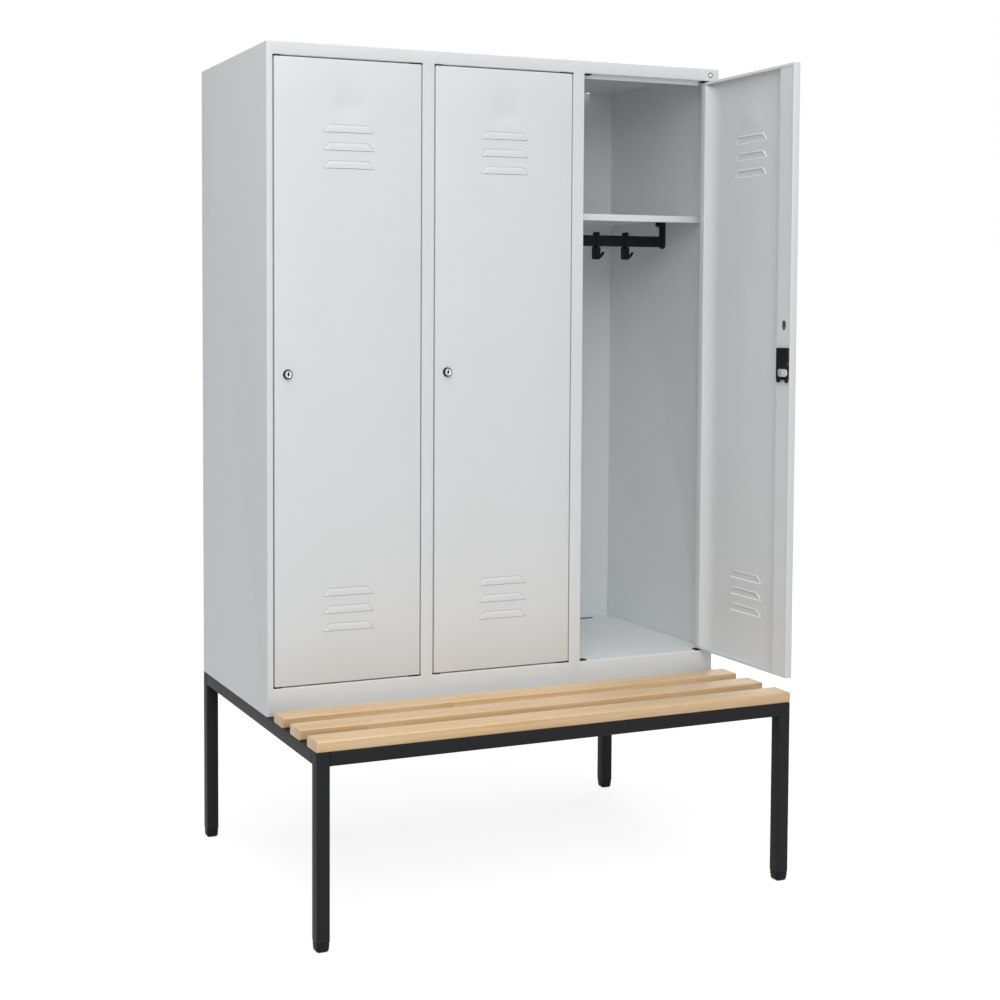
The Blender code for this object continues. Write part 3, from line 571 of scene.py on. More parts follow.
class LOCKER_OT_stage(bpy.types.Operator):
    """Make the camera, the lamps, the world and the floor"""
    bl_idname = "locker.stage"
    bl_label = "Stage"

    # Place, side and power of each lamp, and whether shiny parts mirror it
    lamps = {"key": ((-1.1, -2.8, 3.0), 2.2, 43.0, True),
             "front": ((-1.5, -6.0, 1.6), 4.0, 32.0, True),
             "rear": ((3.4, 3.6, 2.2), 3.0, 60.0, False)}

    def execute(self, context):
        stage = context.scene.locker_stage
        data = bpy.data.cameras.new("camera")
        data.lens = stage.lens
        data.sensor_width = 36.0
        data.shift_x = stage.shift_x
        data.shift_y = stage.shift_y
        camera = put("camera", data)
        camera.location = stage.eye
        camera.rotation_euler = (math.pi / 2 - stage.pitch, 0, stage.heading)
        context.scene.camera = camera
        context.scene.view_settings.view_transform = "Standard"

        for name, settings in self.lamps.items():
            self.lamp(name, *settings)
        self.sky(strength=1.42, spread=60)
        self.world()
        self.floor(stage.floor_size)
        return {"FINISHED"}

    def lamp(self, name, place, size, power, mirrored):
        """A square lamp that faces the locker's middle."""
        data = bpy.data.lights.new(name, "AREA")
        data.size = size
        aim = Vector((0, 0, 1.0)) - Vector(place)
        lamp = self.light(data, power, aim.to_track_quat("-Z", "Y").to_euler())
        lamp.location = place
        lamp.visible_glossy = mirrored

    def sky(self, strength, spread):
        """Even light from above, a little from the front and the left."""
        data = bpy.data.lights.new("sky", "SUN")
        data.angle = math.radians(spread)
        self.light(data, strength, (math.radians(14), math.radians(-8), 0))

    def light(self, data, energy, angles):
        data.energy = energy
        light = put(data.name, data)
        light.rotation_euler = angles
        return light

    def world(self):
        """White where the camera, a mirror or glass sees it, dim where it lights the locker."""
        world = bpy.data.worlds.new("studio")
        world.use_nodes = True
        world.node_tree.nodes.clear()
        studio = Shading(world.node_tree)
        dim = studio.node("Background", inputs={"Color": (0.97, 0.985, 1.0, 1), "Strength": 0.30})
        white = studio.node("Background", inputs={"Color": (1, 1, 1, 1), "Strength": 1.0})
        seen = studio.seen("Is Camera Ray", "Is Glossy Ray", "Is Transmission Ray")
        studio.node("OutputWorld", inputs={
            "Surface": studio.node("MixShader", inputs={0: seen, 1: dim, 2: white})})
        bpy.context.scene.world = world

    def floor(self, size):
        """A viewer meets a white floor with a pale shadow; the light it throws back stays plain."""
        bm = bmesh.new()
        bmesh.ops.create_grid(bm, x_segments=2, y_segments=2, size=size / 2)
        mesh = bpy.data.meshes.new("floor")
        bm.to_mesh(mesh)
        bm.free()
        floor = put("floor", mesh)
        finish = Finish("studio_floor")
        seen = finish.seen("Is Camera Ray", "Is Glossy Ray")
        plain, shown, glow = [(level, level, level) for level in (0.55, 0.28, 0.82)]
        finish.surface(Roughness=0.9, Specular_IOR_Level=0.0,
                       Base_Color=finish.mix(seen, plain, shown),
                       Emission_Color=finish.mix(seen, (0, 0, 0), glow), Emission_Strength=1.0)
        mesh.materials.append(finish.material)


class LOCKER_OT_carcass(bpy.types.Operator):
    """Fold the sides, the roof and the front with its three openings, as one seamless shell"""
    bl_idname = "locker.carcass"
    bl_label = "Carcass"

    def execute(self, context):
        sizes = context.scene.locker_sizes
        bm = bmesh.new()
        self.outside(bm, sizes)
        self.openings(bm, sizes)
        self.notches(bm, sizes)
        folds = sharp_edges(bm, lambda edge: not runs_along(edge, 1))
        soften(bm, folds, sizes.fold_bend, segments=4)
        thicken(bm, SHEET)
        piece("carcass", bm, "light_grey_paint", "root",
              ["side_panel_left", "side_panel_right", "top_panel", "header", "sill",
               "mullion_left", "mullion_right"])
        return {"FINISHED"}

    def outside(self, bm, sizes):
        verts = block(bm, (LEFT, FRONT, BASE), (RIGHT, BACK, TOP))
        bent = [edge for edge in edges_of(verts)
                if not all(near(vert.co.z, BASE) for vert in edge.verts)
                or all(near(vert.co.y, FRONT) for vert in edge.verts)]
        soften(bm, bent, sizes.bend)
        back, bottom, top = lies(1, BACK), lies(2, BASE), lies(2, TOP)
        slice_where(bm, 0, (LEFT + sizes.rear_return, RIGHT - sizes.rear_return), back)
        slice_where(bm, 2, (TOP - sizes.rear_return,), back)
        slice_where(bm, 1, (FRONT + sizes.front_return,), bottom)
        edge = sizes.rear_return
        delete_faces(bm, lambda spot: near(spot.y, BACK) and spot.z < TOP - edge
                     and LEFT + edge < spot.x < RIGHT - edge)
        delete_faces(bm, lambda spot: near(spot.z, BASE)
                     and spot.y > FRONT + sizes.front_return)
        # A small slot over each bay, near the roof's rear edge
        slots = [RIGHT - index * PITCH - sizes.slot_inset for index in range(len(BAYS))]
        half, far = sizes.slot_width / 2, BACK - mm(5)
        start = far - sizes.slot_depth
        slice_where(bm, 0, [spot + side * half for spot in sorted(slots) for side in (-1, 1)], top)
        slice_where(bm, 1, (start, far), top)
        delete_faces(bm, lambda spot: near(spot.z, TOP) and start < spot.y < far
                     and any(abs(spot.x - slot) < half for slot in slots))

    def openings(self, bm, sizes):
        front = lies(1, FRONT)
        for start, end in OPENINGS.values():
            slice_where(bm, 0, (start, start + sizes.stop_inset, start + sizes.latch_notch,
                                end - sizes.hinge_notch, end), front)
        slice_where(bm, 2, (FLOOR_LEVEL, LINTEL), front)
        for start, end in OPENINGS.values():
            delete_faces(bm, lambda spot: near(spot.y, FRONT) and start < spot.x < end
                         and FLOOR_LEVEL < spot.z < LINTEL)
        bays = rim(bm, lambda co: near(co.y, FRONT) and co.z > FLOOR_LEVEL - GAP)
        fold(bm, bays, (0, sizes.front_return, 0))
        deep = FRONT + sizes.front_return
        for start, end in OPENINGS.values():
            for place, side in ((start, -1), (end, 1)):
                lip = rim(bm, lambda co: near(co.y, deep) and near(co.x, place))
                fold(bm, lip, (side * sizes.return_lip, 0, 0))
            stop = rim(bm, lambda co: near(co.y, deep) and near(co.z, LINTEL)
                       and start + sizes.stop_inset - GAP < co.x < end - sizes.hinge_notch + GAP)
            fold(bm, stop, (0, 0, -sizes.stop_drop))

    def notches(self, bm, sizes):
        """Notches in the folds at the corners of each opening: the latch side's and the hinge's."""
        flat, rib_width = mm(0.4), mm(2)
        step = FRONT + sizes.fold_bend + flat
        rib = FRONT + sizes.front_return - rib_width
        for level in (FLOOR_LEVEL, LINTEL):
            slice_where(bm, 1, (step, rib), lies(2, level))
            for start, end in OPENINGS.values():
                delete_faces(bm, lambda spot: near(spot.z, level)
                             and (step < spot.y < rib and start < spot.x < start + sizes.latch_notch
                                  or spot.y > step and end - sizes.hinge_notch < spot.x < end))


class LOCKER_OT_inner_sheets(bpy.types.Operator):
    """Paint the sheets inside the carcass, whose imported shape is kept"""
    bl_idname = "locker.inner_sheets"
    bl_label = "Inner sheets"

    def execute(self, context):
        dress(["back_panel", "floor_panel", "partition_left", "partition_right",
               *(f"door_stiffener_{bay}" for bay in BAYS)], "light_grey_paint")
        from_right, from_back = mm(95), mm(30)
        for index, bay in enumerate(BAYS):
            self.shade_plug(bay, LEFT + (index + 1) * PITCH - from_right, FLOOR_HIGH.y + GAP - from_back)
        return {"FINISHED"}

    def shade_plug(self, bay, x, y):
        """A black stopper in the floor's slot, with a longer head; its black is painted shade that
        stands in for the dark slot.
        """
        stem = (mm(25.4), mm(5.4), mm(2.2), mm(0.5)), (x, y, FLOOR_LEVEL - mm(2.4))
        head = (mm(40), mm(8), mm(1.4), mm(0.4)), (x + mm(6), y, FLOOR_LEVEL + mm(0.1))
        bm = bmesh.new()
        for form, spot in (stem, head):
            before = set(bm.verts)
            slot_form(bm, *form)
            made = [vert for vert in bm.verts if vert not in before]
            place_verts(bm, made, Matrix.Translation(spot))
        # Painted shade: the stopper's black stands in for the dark floor slot
        piece(f"floor_stopper_shade_{bay}", bm, "black_plastic", "root")


class LOCKER_OT_shelves(bpy.types.Operator):
    """Fold a shelf for each bay, with a rounded front edge"""
    bl_idname = "locker.shelves"
    bl_label = "Shelves"

    def execute(self, context):
        sizes = context.scene.locker_sizes
        for bay in BAYS:
            low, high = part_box(f"shelf_{bay}")
            bm = bmesh.new()
            verts = block(bm, low, high)
            soften(bm, [edge for edge in edges_of(verts) if any(vert.co.z > high.z - GAP
                        for vert in edge.verts)], sizes.bend)
            delete_faces(bm, lambda spot: near(spot.z, low.z))
            fold(bm, rim(bm, lambda co: near(co.z, low.z) and co.y < low.y + GAP),
                 (0, sizes.return_lip, 0))
            thicken(bm, SHEET)
            piece(f"shelf_sheet_{bay}", bm, "light_grey_paint", "root", [f"shelf_{bay}"])
        return {"FINISHED"}


class LOCKER_OT_doors(bpy.types.Operator):
    """Press and fold a door for each bay: a tray with louvres, a card field and a boxed hinge edge"""
    bl_idname = "locker.doors"
    bl_label = "Doors"

    def execute(self, context):
        sizes = context.scene.locker_sizes
        for bay in BAYS:
            bm = bmesh.new()
            self.tray(bm, sizes)
            self.hinge_box(bm, sizes)
            self.grid(bm, sizes)
            self.card_field(bm, sizes)
            for bottom in self.levels(sizes):
                self.louvre(bm, sizes, bottom)
            thicken(bm, SHEET)
            piece(f"door_sheet_{bay}", bm, "light_grey_paint", f"{bay}_door", [f"door_{bay}"],
                  hung(bay))
        return {"FINISHED"}

    def tray(self, bm, sizes):
        verts = block(bm, (FREE, FACE, DOOR_BOTTOM), (EDGE, REAR, DOOR_TOP))
        soften(bm, edges_of(verts), sizes.bend, segments=4)
        rear = lies(1, REAR)
        curl = FREE + 1.3 * sizes.bend
        lip = EDGE - sizes.hinge_lip
        slice_where(bm, 0, (curl, lip), rear)
        low, high = DOOR_BOTTOM + sizes.door_lip, DOOR_TOP - sizes.door_lip
        slice_where(bm, 2, (low, high), rear)
        delete_faces(bm, lambda spot: near(spot.y, REAR) and low < spot.z < high
                     and curl < spot.x < lip)

    def hinge_box(self, bm, sizes):
        """Carry the hinge edge's lip on as a flank that runs out softly on the door's sheet."""
        lip = EDGE - sizes.hinge_lip
        low, high = DOOR_BOTTOM + sizes.door_lip, DOOR_TOP - sizes.door_lip
        ends = [sizes.flank_corner * share
                for share in (0.02, 0.06, 0.12, 0.20, 0.30, 0.42, 0.56, 0.75, 1.0)]
        slice_where(bm, 2, [high - end for end in ends],
                    lambda face: lies(1, REAR)(face) and face.calc_center_median().x > lip)
        edges = rim(bm, lambda co: near(co.y, REAR) and near(co.x, lip))
        drop = REAR - FACE - SHEET - GAP
        steps, roundness = 14, 1.9
        last = 0.0
        flank = set()
        for step in range(1, steps + 1):
            down = drop * (1 - (1 - step / steps) ** roundness)
            edges = fold(bm, edges, (-sizes.hinge_flank / steps, last - down, 0))
            flank.update(vert for edge in edges for vert in edge.verts)
            last = down
        # The slope's foot curves back to the lip at the top, and both ends run into the door's folds
        least = 0.10
        for vert in flank:
            inside = min(max((high - vert.co.z) / sizes.flank_corner, 0.0), 1.0)
            share = least + (1 - least) * math.sqrt(1 - (1 - inside) ** 2)
            vert.co.x = lip - (lip - vert.co.x) * share
        for place, side in ((low, -1), (high, 1)):
            end = rim(bm, lambda co: near(co.z, place) and co.x < lip + GAP)
            end = [edge for edge in end if not all(near(vert.co.y, REAR) for vert in edge.verts)]
            fold(bm, end, (0, 0, side * (sizes.door_lip - SHEET - GAP)))

    def levels(self, sizes):
        """The lower edges of the louvres, from the door's upper and its lower group."""
        steps = [index * sizes.louvre_pitch for index in range(sizes.louvre_count)]
        return ([DOOR_TOP - sizes.louvres_from_top - step for step in steps]
                + [DOOR_BOTTOM + sizes.louvres_from_bottom + step for step in steps])

    def grid(self, bm, sizes):
        """Cut the door's sheet where a louvre or the card field bends it."""
        face = lies(1, FACE)
        margins = mm(0.6), mm(2.0)
        half, card = sizes.louvre_width / 2, sizes.card_width / 2
        columns = [half - inside for inside in self.insides(half)]
        columns += [*(half + margin for margin in margins), card, card - sizes.card_ramp]
        slice_where(bm, 0, [CENTRE + side * column for column in sorted(columns)
                            for side in (-1, 1)], face)
        rows = []
        for bottom in self.levels(sizes):
            top, under = bottom + sizes.louvre_height, bottom - sizes.louvre_slot
            rows += [top - inside for inside in self.insides(sizes.louvre_height)]
            rows += [*(top + margin for margin in margins), bottom, under, under - margins[0]]
        top = DOOR_TOP - sizes.card_from_top
        rows += [top, top - sizes.card_ramp, top - sizes.card_height + sizes.card_ramp,
                 top - sizes.card_height]
        slice_where(bm, 2, sorted(rows), face)

    def insides(self, reach):
        """Distances from a louvre's rim, close together in its crease."""
        steps = (0.0, 0.4, 0.9, 1.4, 1.9, 2.25, 2.6, 3.0, 3.5, 4.2, 5.0, 6.0, 7.2, 8.6, 11.0, 15.0, 30.0)
        return [mm(step) for step in steps if mm(step) < reach - mm(0.5)]

    def louvre(self, bm, sizes, bottom):
        """Open the louvre's slot and press the hood out above it."""
        half = sizes.louvre_width / 2
        top = bottom + sizes.louvre_height
        corner_start = 0.55
        delete_faces(bm, lambda spot: bottom - sizes.louvre_slot < spot.z < bottom
                     and abs(spot.x - CENTRE) < half and near(spot.y, FACE))
        hood = {vert for face in bm.faces if self.over(face, bottom, top, half)
                for vert in face.verts}
        for vert in hood:
            along = (vert.co.x - CENTRE) / half
            up = (vert.co.z - bottom) / sizes.louvre_height
            narrow = (half - sizes.louvre_top / 2) * up
            corner = max(0.0, up - corner_start) / (1 - corner_start)
            narrow += sizes.louvre_corner * (1 - math.sqrt(max(0.0, 1 - corner * corner)))
            reach = half - narrow
            from_end = reach * (1 - abs(along))
            from_top = sizes.louvre_height * (1 - up)
            rise = (self.swell(from_end - sizes.crease_width, sizes.louvre_end)
                    * self.swell(from_top - sizes.crease_width, sizes.louvre_shoulder))
            crease = self.groove(min(from_end, from_top), sizes.crease_width)
            vert.co.x = CENTRE + along * reach
            vert.co.y = FACE - sizes.louvre_rise * rise + sizes.crease_depth * crease

    def over(self, face, bottom, top, half):
        spot = face.calc_center_median()
        return bottom < spot.z < top and abs(spot.x - CENTRE) < half and spot.y < FACE + GAP

    def swell(self, inside, run):
        """From 0 at a hood's rim to 1 on its crown, round at both ends."""
        share = min(max(inside / run, 0.0), 1.0)
        return math.sin(share * math.pi / 2)

    def groove(self, inside, width):
        """From 0 at a hood's rim to 1 in the crease round it and steeply back."""
        deepest = 0.87
        share = min(max(inside / width, 0.0), 1.0)
        if share < deepest:
            return math.sin(share / deepest * math.pi / 2) ** 1.3
        return (1 - share) / (1 - deepest)

    def card_field(self, bm, sizes):
        half = sizes.card_width / 2 - sizes.card_ramp
        top = DOOR_TOP - sizes.card_from_top - sizes.card_ramp
        low = DOOR_TOP - sizes.card_from_top - sizes.card_height + sizes.card_ramp
        for vert in bm.verts:
            inside = abs(vert.co.x - CENTRE) < half + GAP and low - GAP < vert.co.z < top + GAP
            if inside and near(vert.co.y, FACE):
                vert.co.y += sizes.card_recess


class LOCKER_OT_locks(bpy.types.Operator):
    """Make each door's lock: a housing with its snout, a barrel with its cam, and a bolt"""
    bl_idname = "locker.locks"
    bl_label = "Locks"

    def execute(self, context):
        for bay in BAYS:
            self.housing(bay)
            self.barrel(bay)
            self.cam(bay)
            self.bolt(bay)
        return {"FINISHED"}

    def facing(self, depth, outward=True):
        """Takes a form that stands on the XY plane to the lock's axis, to face out or in."""
        turn = Matrix.Rotation(math.pi / 2 if outward else -math.pi / 2, 4, "X")
        return Matrix.Translation((LOCK_X, depth, DOOR_MIDDLE)) @ turn

    def housing(self, bay):
        corner, front_edge, foot_height, border = mm(1.6), mm(0.6), mm(6), mm(3)
        bm = bmesh.new()
        low, high = CASE_LOW.copy(), CASE_HIGH.copy()
        low.y = REAR + GAP
        high.y = REAR + mm(5.0)
        foot = low.z
        low.z += foot_height
        soften(bm, edges_along(block(bm, low, high), 1), corner, segments=4)
        soften(bm, edges_at(bm, 1, high.y), front_edge, segments=2)
        self.pocket(bm, low.x)
        # A sunk field between upright borders
        front = lies(1, high.y)
        left, right = low.x + border, high.x - border
        bottom, top = low.z + border, high.z - border
        slice_where(bm, 0, (left, right), front)
        slice_where(bm, 2, (bottom, top), front)
        field = [face for face in bm.faces if front(face) and within(face, 0, left, right)
                 and within(face, 2, bottom, top)]
        bmesh.ops.inset_region(bm, faces=field, thickness=mm(0.4), depth=mm(-0.6))
        # Two prongs under the housing
        inside, width, overlap = mm(0.4), mm(9.8), mm(3)
        for start in (low.x + inside, high.x - inside - width):
            prong = block(bm, (start, low.y, foot), (start + width, high.y - mm(0.3), low.z + overlap))
            soften(bm, edges_of(prong), mm(1.8))
        # Collar in front of the door
        proud = (FACE - BARREL_LOW.y) * 1000
        collar = [(8.3, -1.5), (8.3, proud - 1.0), (8.5, proud - 0.3), (8.9, proud), (9.2, proud - 0.1),
                  (9.6, proud - 0.5), (10.0, proud - 1.5), (11.2, 1.2), (11.4, 0.0), (11.4, -1.5)]
        place_verts(bm, turned(bm, collar), self.facing(FACE))
        piece(f"lock_housing_{bay}", bm, "black_plastic", f"{bay}_door", [f"lock_case_{bay}"],
              hung(bay))

    def pocket(self, bm, place):
        """The bolt's pocket, open at the side towards the door's free edge."""
        low, high = self.blade()
        play_z, play_y, play_x = mm(0.3), mm(0.2), mm(0.5)
        side = lies(0, place)
        slice_where(bm, 2, (low.z - play_z, high.z + play_z), side)
        slice_where(bm, 1, (low.y - play_y, high.y + play_y),
                    lambda face: side(face) and within(face, 2, low.z, high.z))
        mouth = [face for face in bm.faces if side(face) and within(face, 2, low.z, high.z)
                 and within(face, 1, low.y, high.y)]
        bmesh.ops.inset_region(bm, faces=mouth, thickness=0, depth=place - high.x - play_x)

    def barrel(self, bay):
        """A round face with a raised rim, sunk in the middle, and the keyhole as a black lens on it:
        painted shade for the keyhole's dark hole.
        """
        depth = (FACE - BARREL_LOW.y) * 1000
        bm = bmesh.new()
        rim_form = [(0, depth - 1.0), (5.2, depth - 1.0), (5.9, depth - 0.5), (6.6, depth), (7.6, depth),
                    (8.1, depth - 0.4), (8.2, depth - 1.0), (8.2, 0)]
        place_verts(bm, turned(bm, rim_form), self.facing(FACE))
        piece(f"barrel_face_{bay}", bm, "chrome", f"{bay}_barrel", [f"lock_barrel_{bay}"], hung(bay))
        bm = bmesh.new()
        # Painted shade: a black lens just proud of the sunk face stands in for the keyhole's dark hole
        keyhole_shade = turned(bm, [(0, 0.35), (5.6, 0.30), (6.0, 0.0)], steps=40)
        narrow = Matrix.Diagonal((0.40, 1.0, 1.0, 1.0))
        place_verts(bm, keyhole_shade, self.facing(BARREL_LOW.y + mm(1.05)) @ narrow)
        piece(f"barrel_keyhole_shade_{bay}", bm, "black_plastic", f"{bay}_barrel", (), hung(bay))

    def cam(self, bay):
        """The cam's plate reaches from the barrel towards the door's free edge."""
        near_y, far_y = REAR + mm(5.2), REAR + mm(6.8)
        reach, tail, half, corner, rivet_place = mm(28.5), mm(4.5), mm(9), mm(6.5), mm(-11.5)
        bm = bmesh.new()
        plate = block(bm, (LOCK_X - reach, near_y, DOOR_MIDDLE - half),
                      (LOCK_X + tail, far_y, DOOR_MIDDLE + half))
        soften(bm, edges_along(plate, 1), corner, segments=8)
        soften(bm, sharp_edges(bm, lambda edge: not runs_along(edge, 1)), mm(0.5), segments=2)
        rivet = turned(bm, [(0, 1.0), (3.0, 0.9), (4.0, 0.5), (4.3, 0)], steps=32)
        outward = self.facing(far_y - mm(0.2), outward=False)
        place_verts(bm, rivet, Matrix.Translation((rivet_place, 0, 0)) @ outward)
        piece(f"barrel_cam_{bay}", bm, "zinc", f"{bay}_barrel", (), hung(bay))

    def blade(self):
        """The bolt's corners: a thin blade that slides behind the stile's lip."""
        half_height, setback, thickness = mm(4.5), mm(1.2), mm(1.5)
        low, high = BOLT_LOW.copy(), BOLT_HIGH.copy()
        middle = (low.z + high.z) / 2
        low.z, high.z = middle - half_height, middle + half_height
        low.x = CASE_LOW.x + setback
        high.y = low.y + thickness
        return low, high

    def bolt(self, bay):
        bm = bmesh.new()
        soften(bm, edges_along(block(bm, *self.blade()), 1), mm(1.6), segments=4)
        soften(bm, sharp_edges(bm, lambda edge: not runs_along(edge, 1)), mm(0.3), segments=2)
        piece(f"bolt_blade_{bay}", bm, "zinc", f"{bay}_bolt", [f"lock_bolt_{bay}"], hung(bay))


class LOCKER_OT_hinges(bpy.types.Operator):
    """Turn the hinge pins and mould the bushes that they turn in, whose black is also painted shade in
    the notches
    """
    bl_idname = "locker.hinges"
    bl_label = "Hinges"

    def execute(self, context):
        sizes = context.scene.locker_sizes
        for bay in BAYS:
            for end in ("low", "high"):
                self.pin(bay, end)
            for level, side in ((FLOOR_LEVEL, -1), (LINTEL, 1)):
                self.bush(bay, level, side, sizes)
        return {"FINISHED"}

    def pin(self, bay, end):
        name = f"hinge_pin_{end}_{bay}"
        low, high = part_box(name)
        side = 1 if end == "high" else -1
        gap = (low.z + high.z) / 2 + side * mm(1.5)
        pin = self.drum(bay, 0, mm(3.0), mm(0.6), low.z, high.z)
        piece(f"pin_{end}_{bay}", pin, "zinc", f"{bay}_door", [name])
        washer = self.drum(bay, mm(3.05), mm(5.5), mm(0.3), gap - mm(1.2), gap + mm(1.2))
        piece(f"washer_{end}_{bay}", washer, "black_plastic", f"{bay}_door")

    def drum(self, bay, inner, outer, bevel, bottom, top):
        """A pin or a ring round the hinge's axis, bevelled at its outer rims."""
        bm = bmesh.new()
        profile = [(inner, bottom), (outer - bevel, bottom), (outer, bottom + bevel),
                   (outer, top - bevel), (outer - bevel, top), (inner, top)]
        place_verts(bm, lathe(bm, profile, steps=32), Matrix.Translation(HINGES[bay]))
        return bm

    def bush(self, bay, level, side, sizes):
        """Black mouldings in the notches of the folds: the hinge's bush and the latch's buffer; their
        black is also painted shade for the dark notches at the opening's corners.
        """
        word = "low" if side < 0 else "high"
        start, end = OPENINGS[bay]
        near_y, far_y = FRONT + sizes.fold_bend + mm(0.5), RETURN_BACK - mm(0.4)
        play, sunk, rise = mm(0.1), mm(3.2), sizes.buffer_rise
        notch = end - sizes.hinge_notch
        spans = {"hinge_bush_and_shade": [(notch + play, end - play, far_y, play),
                                (notch + mm(0.3), end - mm(12.5), far_y, rise)],
                 "latch_buffer": [(start + play, start + sizes.latch_notch - play,
                                   far_y - mm(1.8), rise)]}
        for name, blocks in spans.items():
            bm = bmesh.new()
            for left, right, back, proud in blocks:
                low, high = sorted((level - side * proud, level + side * sunk))
                block(bm, (left, near_y, low), (right, back, high))
            # A tongue under the fold fills the gap between the door and the opening; its black is
            # painted shade in that gap
            left, right = min(item[0] for item in blocks), max(item[1] for item in blocks)
            low, high = sorted((level - side * rise, level - side * mm(0.15)))
            block(bm, (left, FRONT + mm(1.0), low), (right, near_y + mm(1), high))
            soften(bm, sharp_edges(bm, lambda edge: True), mm(0.25), segments=2)
            piece(f"{name}_{word}_{bay}", bm, "black_plastic", "root")


class LOCKER_OT_coat_rails(bpy.types.Operator):
    """Mould the coat rails with their arms, and the hooks that slide on them"""
    bl_idname = "locker.coat_rails"
    bl_label = "Coat rails and hooks"

    bar_depth = mm(15)

    def execute(self, context):
        for bay in BAYS:
            self.rail(bay)
            for number in (1, 2):
                self.hook(bay, number)
        return {"FINISHED"}

    def rail(self, bay):
        low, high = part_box(f"coat_rail_{bay}")
        depth = (low.y + high.y) / 2
        half, arm, nose, chin = self.bar_depth / 2, mm(8), mm(11.5), mm(10)
        bm = bmesh.new()
        bar = block(bm, (low.x + arm / 2, depth - half, low.z + GAP),
                    (high.x - arm / 2, depth + half, low.z + mm(28)))
        soften(bm, edges_along(bar, 0), mm(3), segments=4)
        for outer, side in ((low.x, 1), (high.x, -1)):
            # The arm's plate, round at its foot
            near_x, far_x = sorted((outer, outer + side * arm))
            verts = block(bm, (near_x, low.y, low.z - mm(4)), (far_x, high.y, high.z - GAP))
            feet = [edge for edge in edges_along(verts, 0) if edge.verts[0].co.z < low.z + GAP]
            made = soften(bm, feet, mm(9.4), segments=8)["faces"]
            plate = list({edge for face in made for vert in face.verts for edge in vert.link_edges
                          if edge.is_valid and edge.calc_face_angle(0) > SQUARE})
            soften(bm, plate, mm(0.9), segments=2)
            # The pad over it, with a sloping chin
            nose_x = outer + side * (arm + nose)
            start, end = sorted((outer + side * GAP, nose_x))
            pad = block(bm, (start, low.y + GAP, high.z - mm(27)), (end, high.y - GAP, high.z))
            for vert in pad:
                if near(vert.co.x, nose_x) and vert.co.z < high.z - chin:
                    vert.co.z = high.z - mm(18)
            soften(bm, edges_of(pad), mm(0.8), segments=2)
        piece(f"coat_bar_{bay}", bm, "black_plastic", "root", [f"coat_rail_{bay}"])

    def hook(self, bay, number):
        low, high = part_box(f"coat_hook_{bay}_{number}")
        rail_low, rail_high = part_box(f"coat_rail_{bay}")
        x = (low.x + high.x) / 2
        y = (rail_low.y + rail_high.y) / 2
        wall, band_half, plate_half, plate_front = mm(2.8), mm(4.6), mm(11.5), y - mm(3)
        half = self.bar_depth / 2 + mm(0.6)
        foot = low.z + mm(30)
        bm = bmesh.new()
        # The clip: a band round the bar, with a thicker crown
        band = block(bm, (x - band_half, y - half - wall, foot - wall / 2),
                     (x + band_half, y + half + wall, high.z + mm(1.5)))
        soften(bm, edges_of(band), mm(2.6), segments=4)
        # The plate under it, with a round boss on its front
        plate = block(bm, (x - plate_half, plate_front, low.z),
                      (x + plate_half, y + mm(3), foot + mm(3)))
        soften(bm, edges_along(plate, 1), mm(4), segments=5)
        soften(bm, sharp_edges(bm, lambda edge: all(abs(vert.co.x - x) > mm(5) and vert.co.z < foot
               for vert in edge.verts)), mm(1.2), segments=2)
        boss = turned(bm, [(0, 2.2), (3.4, 2.0), (4.6, 1.2), (5.0, 0)], steps=24)
        place_verts(bm, boss, Matrix.Translation((x, plate_front, foot - mm(9)))
                    @ Matrix.Rotation(math.pi / 2, 4, "X"))
        self.prong(bm, x, y - mm(2), low)
        piece(f"hook_{number}_{bay}", bm, "black_plastic", f"{bay}_hook_{number}",
              [f"coat_hook_{bay}_{number}"])

    def prong(self, bm, x, root, low):
        """A round-edged finger that leaves the plate's foot and curves up to a round tip."""
        half_width, half_height, rise = mm(4.4), mm(2.7), mm(12.5)
        sides, steps, straight, power, lean = 16, 12, 0.35, 1.6, 0.1225
        middle = low.z + mm(3.4)
        turns = [math.tau * side / sides for side in range(sides)]
        section = [bm.verts.new((x + math.cos(turn) * half_width, root,
                                 middle + math.sin(turn) * half_height)) for turn in turns]
        edges = [bm.edges.new(pair) for pair in zip(section, section[1:] + section[:1])]
        bmesh.ops.contextual_create(bm, geom=edges)
        reach = root - (low.y - mm(8)) - half_height
        last_along, last_lift = 0.0, 0.0
        for step in range(1, steps + 1):
            share = step / steps
            along = share * reach
            lift = rise * (max(0.0, share - straight) / (1 - straight)) ** power
            edges = fold(bm, edges, (0, last_along - along, lift - last_lift))
            last_along, last_lift = along, lift
            points, centre = self.ring(edges)
            turn = Matrix.Rotation(-math.atan2(lift, along) * lean, 3, "X")
            bmesh.ops.rotate(bm, cent=centre, matrix=turn, verts=points)
        # The tip's rings shrink as they go forward and up
        for shrink, ahead in ((0.86, 1.1), (0.60, 1.0), (0.25, 0.7)):
            edges = fold(bm, edges, (0, mm(-ahead * 0.75), mm(ahead * 0.65)))
            points, centre = self.ring(edges)
            bmesh.ops.transform(bm, matrix=Matrix.Diagonal((shrink, shrink, shrink, 1)),
                                space=Matrix.Translation(-centre), verts=points)
        bmesh.ops.contextual_create(bm, geom=edges)

    def ring(self, edges):
        """The points of a ring of edges, and their middle."""
        points = list({vert for edge in edges for vert in edge.verts})
        return points, sum((vert.co for vert in points), Vector()) / len(points)


